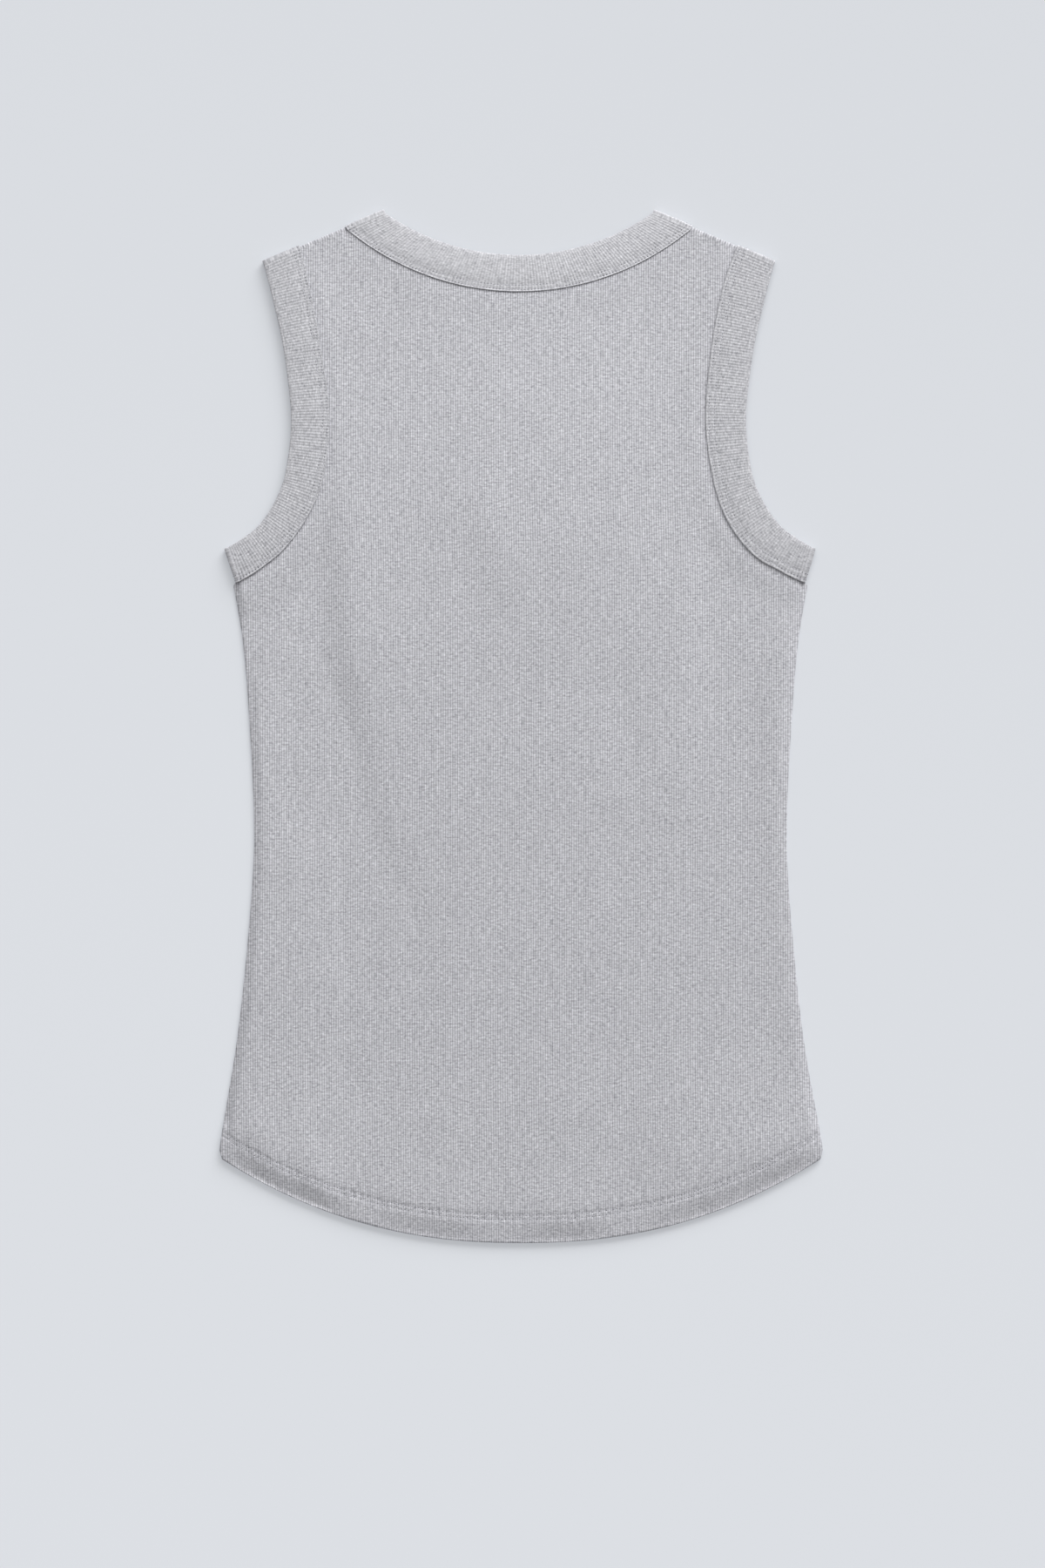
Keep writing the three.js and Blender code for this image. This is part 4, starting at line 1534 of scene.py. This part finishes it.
@dataclass(frozen=True)
class HeatherRib:
    """Cotton-blend rib knit from melange yarn, mid-grey fibres carded into white ones.

    The yarn runs along the courses, so its flecks are drawn out across the ribs, broken at each groove.
    Its colour is painted darker in the grooves between the ribs and lighter on their crests: painted shade
    and painted highlight. Brushed fibre ends give a faint nap and no gloss.
    """

    name: str
    rib: RibKnit
    light: str = "#D9D9DE"
    dark: str = "#97979D"
    fleck_length: float = 3.6
    fleck_height: float = 1.1
    speckle: float = 1.35
    cloud: float = 16.0
    painted_rib_shading: float = 0.23
    course: float = 1.3
    course_height: float = 0.05
    fibre: tuple[float, float] = (0.7, 0.5)
    nap_bump: float = 0.25
    fleck_share: float = 1.12
    speckle_share: float = 0.88
    cloud_share: float = 0.2
    roughness: float = 0.93
    sheen: float = 0.04

    def noise(
        self, tree: bpy.types.NodeTree, place: bpy.types.NodeSocket, size: tuple[float, float], detail: float
    ) -> bpy.types.NodeSocket:
        """A noise over the knit map.

        Args:
            tree: The material's tree.
            place: The knit map in millimetres.
            size: How long the grains are along the courses and along the ribs, in millimetres.
            detail: How many finer layers it has.

        Returns:
            The noise, about 0.5 on average.
        """
        stretched = add_node(
            tree,
            "ShaderNodeVectorMath",
            {"operation": "MULTIPLY"},
            {0: place, 1: (1 / size[0], 1 / size[1], 1.0)},
        )
        grain = add_node(
            tree,
            "ShaderNodeTexNoise",
            {"noise_dimensions": "2D"},
            {"Vector": stretched.outputs[0], "Scale": 1.0, "Detail": detail, "Roughness": 0.6},
        )
        return grain.outputs[0]

    def build(self) -> bpy.types.Material:
        """Makes the material."""
        material, tree = new_material(self.name)
        knit = add_node(tree, "ShaderNodeUVMap", {"uv_map": KNIT_MAP})
        place = scaled(tree, knit.outputs[0], 1 / MM)
        parts = add_node(tree, "ShaderNodeSeparateXYZ", inputs={0: place})
        flecks = self.noise(tree, place, (self.fleck_length, self.fleck_height), 2.0)
        speckle = self.noise(tree, place, (self.speckle * 1.4, self.speckle * 0.9), 1.0)
        cloud = self.noise(tree, place, (self.cloud, self.cloud * 0.7), 2.0)
        total = 0.5
        shares = (self.fleck_share, self.speckle_share, self.cloud_share)
        for grain, share in zip((flecks, speckle, cloud), shares):
            centred = calculated(tree, "SUBTRACT", grain, 0.5)
            total = calculated(tree, "ADD", calculated(tree, "MULTIPLY", centred, share), total)
        tone = add_node(
            tree,
            "ShaderNodeMix",
            {"data_type": "RGBA"},
            {0: total, 6: linear(self.dark), 7: linear(self.light)},
        )
        # Painted shade and painted highlight: darker towards each groove, lighter towards each crest, by the
        # rib's place across the knit map
        turn = calculated(tree, "MULTIPLY", parts.outputs[0], 2 * math.pi / self.rib.pitch)
        crest = calculated(tree, "COSINE", turn)
        shade = add_node(
            tree,
            "ShaderNodeMapRange",
            inputs={0: crest, 1: -1.0, 2: 1.0, 3: 1 - self.painted_rib_shading, 4: 1 + self.painted_rib_shading},
        )
        colour = scaled(tree, tone.outputs[2], shade.outputs[0])
        loops = calculated(tree, "MULTIPLY", parts.outputs[1], 2 * math.pi / self.course)
        course = calculated(tree, "SINE", loops)
        fibre = self.noise(tree, place, self.fibre, 2.0)
        height = calculated(tree, "MULTIPLY_ADD", course, self.course_height, fibre)
        bump = add_node(
            tree,
            "ShaderNodeBump",
            inputs={"Strength": 0.5, "Distance": self.nap_bump * MM, "Height": height},
        )
        shader = add_node(
            tree,
            "ShaderNodeBsdfPrincipled",
            inputs={
                "Base Color": colour,
                "Roughness": self.roughness,
                "Specular IOR Level": 0.2,
                "Sheen Weight": self.sheen,
                "Sheen Roughness": 0.6,
                "Normal": bump.outputs[0],
            },
        )
        finish_with(tree, shader.outputs[0])
        return material


@dataclass(frozen=True)
class PlainFinish:
    """A small plain part: spun sewing thread whose own shape gives its look, or a needle hole's dark blob of
    painted shade.
    """

    name: str
    colour: str
    roughness: float
    grain: float
    tones: tuple[float, float] = (0.88, 1.08)

    def build(self) -> bpy.types.Material:
        """Makes the material, with a faint twist of tone along its length."""
        material, tree = new_material(self.name)
        place = add_node(tree, "ShaderNodeTexCoord")
        grain = add_node(
            tree,
            "ShaderNodeTexNoise",
            inputs={"Vector": place.outputs["Object"], "Scale": 1 / (self.grain * MM)},
        )
        shade = add_node(
            tree,
            "ShaderNodeMapRange",
            inputs={0: grain.outputs[0], 1: 0.3, 2: 0.7, 3: self.tones[0], 4: self.tones[1]},
        )
        base = add_node(tree, "ShaderNodeRGB")
        base.outputs[0].default_value = linear(self.colour)
        colour = scaled(tree, base.outputs[0], shade.outputs[0])
        shader = add_node(
            tree,
            "ShaderNodeBsdfPrincipled",
            inputs={"Base Color": colour, "Roughness": self.roughness, "Specular IOR Level": 0.2},
        )
        finish_with(tree, shader.outputs[0])
        return material


# Polyester-core thread spun to match the cloth: rounder and a little lighter than the knit
THREAD = PlainFinish("spun_thread", "#C2C2C8", 0.7, 0.8)
# Painted shade: a dark grey for the cloth drawn down into the needle's hole, where little light reaches
NEEDLE_HOLE_SHADE = PlainFinish("needle_hole_painted_shade", "#6B6C72", 0.95, 0.8)


# Studio


class Lamp(NamedTuple):
    """A large soft lamp: its place and size in millimetres, and its share of the light on the floor."""

    name: str
    place: tuple[float, float, float]
    size: float
    share: float

    def distance(self) -> float:
        """How far the lamp is from the middle of the top."""
        return math.sqrt(sum(c * c for c in self.place))


@dataclass
class Studio:
    """Pale paper floor, an even room, two large soft lamps beyond the neck, and the camera overhead."""

    paper: str = "#DCDFE4"
    paper_diffuse: float = 0.59
    paper_light: float = 1.033
    picture_height: float = 990.0
    picture_centre: tuple[float, float] = (0.83, -36.3)
    camera_height: float = 3000.0
    sensor: float = 36.0
    room: float = 0.37
    lamps: tuple[Lamp, ...] = (
        Lamp("key_softbox", (3170.0, 5960.0, 3900.0), 6000.0, 0.52),
        Lamp("top_softbox", (-150.0, 1300.0, 1540.0), 900.0, 0.16),
    )
    floor_half: float = 12.0

    def floor(self) -> bpy.types.Object:
        """The paper that the top lies on, self-lit by as much as the lamps fall off, so it stays even."""
        mesh = bpy.data.meshes.new("floor")
        e = self.floor_half
        mesh.from_pydata([(-e, -e, 0), (e, -e, 0), (e, e, 0), (-e, e, 0)], [], [(0, 1, 2, 3)])
        floor = put_in_scene("floor", mesh)
        material, tree = new_material("studio_paper")
        diffuse = add_node(
            tree,
            "ShaderNodeBsdfDiffuse",
            inputs={"Color": tuple(self.paper_diffuse * c for c in linear(self.paper)[:3]) + (1.0,)},
        )
        place = add_node(tree, "ShaderNodeTexCoord")
        strength = self.paper_light - self.paper_diffuse * self.room
        for lamp in self.lamps:
            reach = add_node(
                tree,
                "ShaderNodeVectorMath",
                {"operation": "DISTANCE"},
                {0: place.outputs["Object"], 1: [c * MM for c in lamp.place]},
            )
            fall = calculated(tree, "POWER", reach.outputs["Value"], -3.0)
            lit = self.paper_diffuse * lamp.share * (lamp.distance() * MM) ** 3
            strength = calculated(tree, "MULTIPLY_ADD", fall, -lit, strength)
        glow = add_node(
            tree, "ShaderNodeEmission", inputs={"Color": linear(self.paper), "Strength": strength}
        )
        both = add_node(tree, "ShaderNodeAddShader", inputs={0: diffuse.outputs[0], 1: glow.outputs[0]})
        finish_with(tree, both.outputs[0])
        mesh.materials.append(material)
        return floor

    def lights(self) -> None:
        """The room's even light and the large soft lamps."""
        world = bpy.data.worlds.new("room")
        world.use_nodes = True
        background = world.node_tree.nodes["Background"]
        background.inputs["Color"].default_value = (1.0, 1.0, 1.0, 1.0)
        background.inputs["Strength"].default_value = self.room
        bpy.context.scene.world = world
        for lamp in self.lamps:
            data = bpy.data.lights.new(lamp.name, "AREA")
            data.shape = "DISK"
            data.size = lamp.size * MM
            data.energy = lamp.share * math.pi**2 * (lamp.distance() * MM) ** 3 / (lamp.place[2] * MM)
            light = put_in_scene(lamp.name, data)
            light.location = [c * MM for c in lamp.place]
            light.rotation_mode = "QUATERNION"
            light.rotation_quaternion = light.location.to_track_quat("Z", "Y")

    def camera(self) -> None:
        """The camera straight above the middle of the picture."""
        data = bpy.data.cameras.new("camera")
        data.sensor_width = self.sensor
        data.lens = self.sensor * self.camera_height / self.picture_height
        camera = put_in_scene("camera", data)
        x, y = self.picture_centre
        camera.location = (x * MM, y * MM, self.camera_height * MM)
        bpy.context.scene.camera = camera

    def build(self) -> None:
        """Sets the floor, lights, camera and view."""
        self.camera()
        self.floor()
        self.lights()
        bpy.context.scene.view_settings.view_transform = "Standard"


# The whole top


@dataclass
class TankTop:
    """The five cut pieces with their stitches, each riding on the CAD body."""

    body: str = "root"
    body_slot: str = "body_rib"
    binding_slot: str = "binding_rib"
    cut: GarmentCut = field(default_factory=GarmentCut)
    stitch: Coverstitch = field(default_factory=Coverstitch)

    def __post_init__(self) -> None:
        """Prepares what all pieces share."""
        self.laid = LaidCloth(self.cut)
        self.relief = rib_relief_tree()
        self.stitches = self.stitch.tree()
        self.body_finish = HeatherRib("heather_rib_knit", BODY_RIB).build()
        self.armband_finish = HeatherRib(
            "heather_rib_armband", BINDING_RIB, light="#D7D7DB", dark="#95959A", painted_rib_shading=0.1
        ).build()
        # The neckband's copy is painted lighter than the armbands' for the light its raised band catches:
        # painted highlight
        self.neckband_painted_light_finish = HeatherRib(
            "heather_rib_neckband_painted_lighter", BINDING_RIB, light="#DEDEE2", dark="#9D9DA2", painted_rib_shading=0.1
        ).build()
        self.thread, self.hole_shade = THREAD.build(), NEEDLE_HOLE_SHADE.build()

    def dress(
        self, name: str, mesh: ClothMesh, rib: RibKnit, finish: bpy.types.Material, node: str
    ) -> bpy.types.Object:
        """Gives a cloth piece its ribs and finish, and puts it in place of its CAD solid."""
        piece = run_tree(mesh.to_object(name), self.relief, {"Rib depth": rib.depth * MM, "Cloth": finish})
        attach(piece, self.body)
        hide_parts(node)
        log.info("%s: %d faces", name, len(piece.data.polygons))
        return piece

    def sew(self, name: str, rows: list[StitchRow], slot: str) -> bpy.types.Object:
        """Adds one seam's stitches."""
        piece = self.stitch.sew(name, rows, self.stitches, self.thread, self.hole_shade)
        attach(piece, self.body)
        log.info("%s: %d faces", name, len(piece.data.polygons))
        return piece

    def panels(self) -> None:
        """The back on top of the front, each with its coverstitched hem."""
        flat = (0.381, 0.611)
        back = BodyPanel("back_rib_panel", Face.BACK, self.cut, self.laid)
        front = BodyPanel(
            "front_rib_panel", Face.FRONT, self.cut, self.laid, row_step=12.0, margin=-0.4
        )
        laid = ((back, "back_panel", "front_rib_panel"), (front, "front_panel", "floor"))
        for panel, node, rests_on in laid:
            piece = self.dress(panel.name, panel.build(), panel.rib, self.body_finish, node)
            hem = self.sew(f"{node}_hem_stitches", panel.hem_rows(), self.body_slot)
            area = min(panel.area(), flat[0] * flat[1])

    def bindings(self) -> None:
        """The neckband and the two armbands."""
        bands = (
            (Neckband("neckband_binding", self.cut, (1.3, 4.0)), "neckband"),
            (Armband("armband_left_binding", self.cut, (1.5, 4.5), side=Side.LEFT), "armband_left"),
            (Armband("armband_right_binding", self.cut, (2.1, 5.7), side=Side.RIGHT), "armband_right"),
        )
        for band, node in bands:
            mesh, track = band.build()
            finish = self.neckband_painted_light_finish if node == "neckband" else self.armband_finish
            piece = self.dress(band.name, mesh, band.rib, finish, node)
            seam = self.sew(f"{node}_stitches", band.stitch_rows(track), self.binding_slot)
            width = float(track.widths().mean())
            flat = (2 * width * MM, track.length() * MM)

    def build(self) -> None:
        """Makes every piece."""
        self.panels()
        self.bindings()


def main() -> None:
    """Builds the studio and the top."""
    logging.basicConfig(level=logging.INFO, format="%(name)s %(message)s")
    Studio().build()
    TankTop().build()


if __name__ == "__main__":
    main()
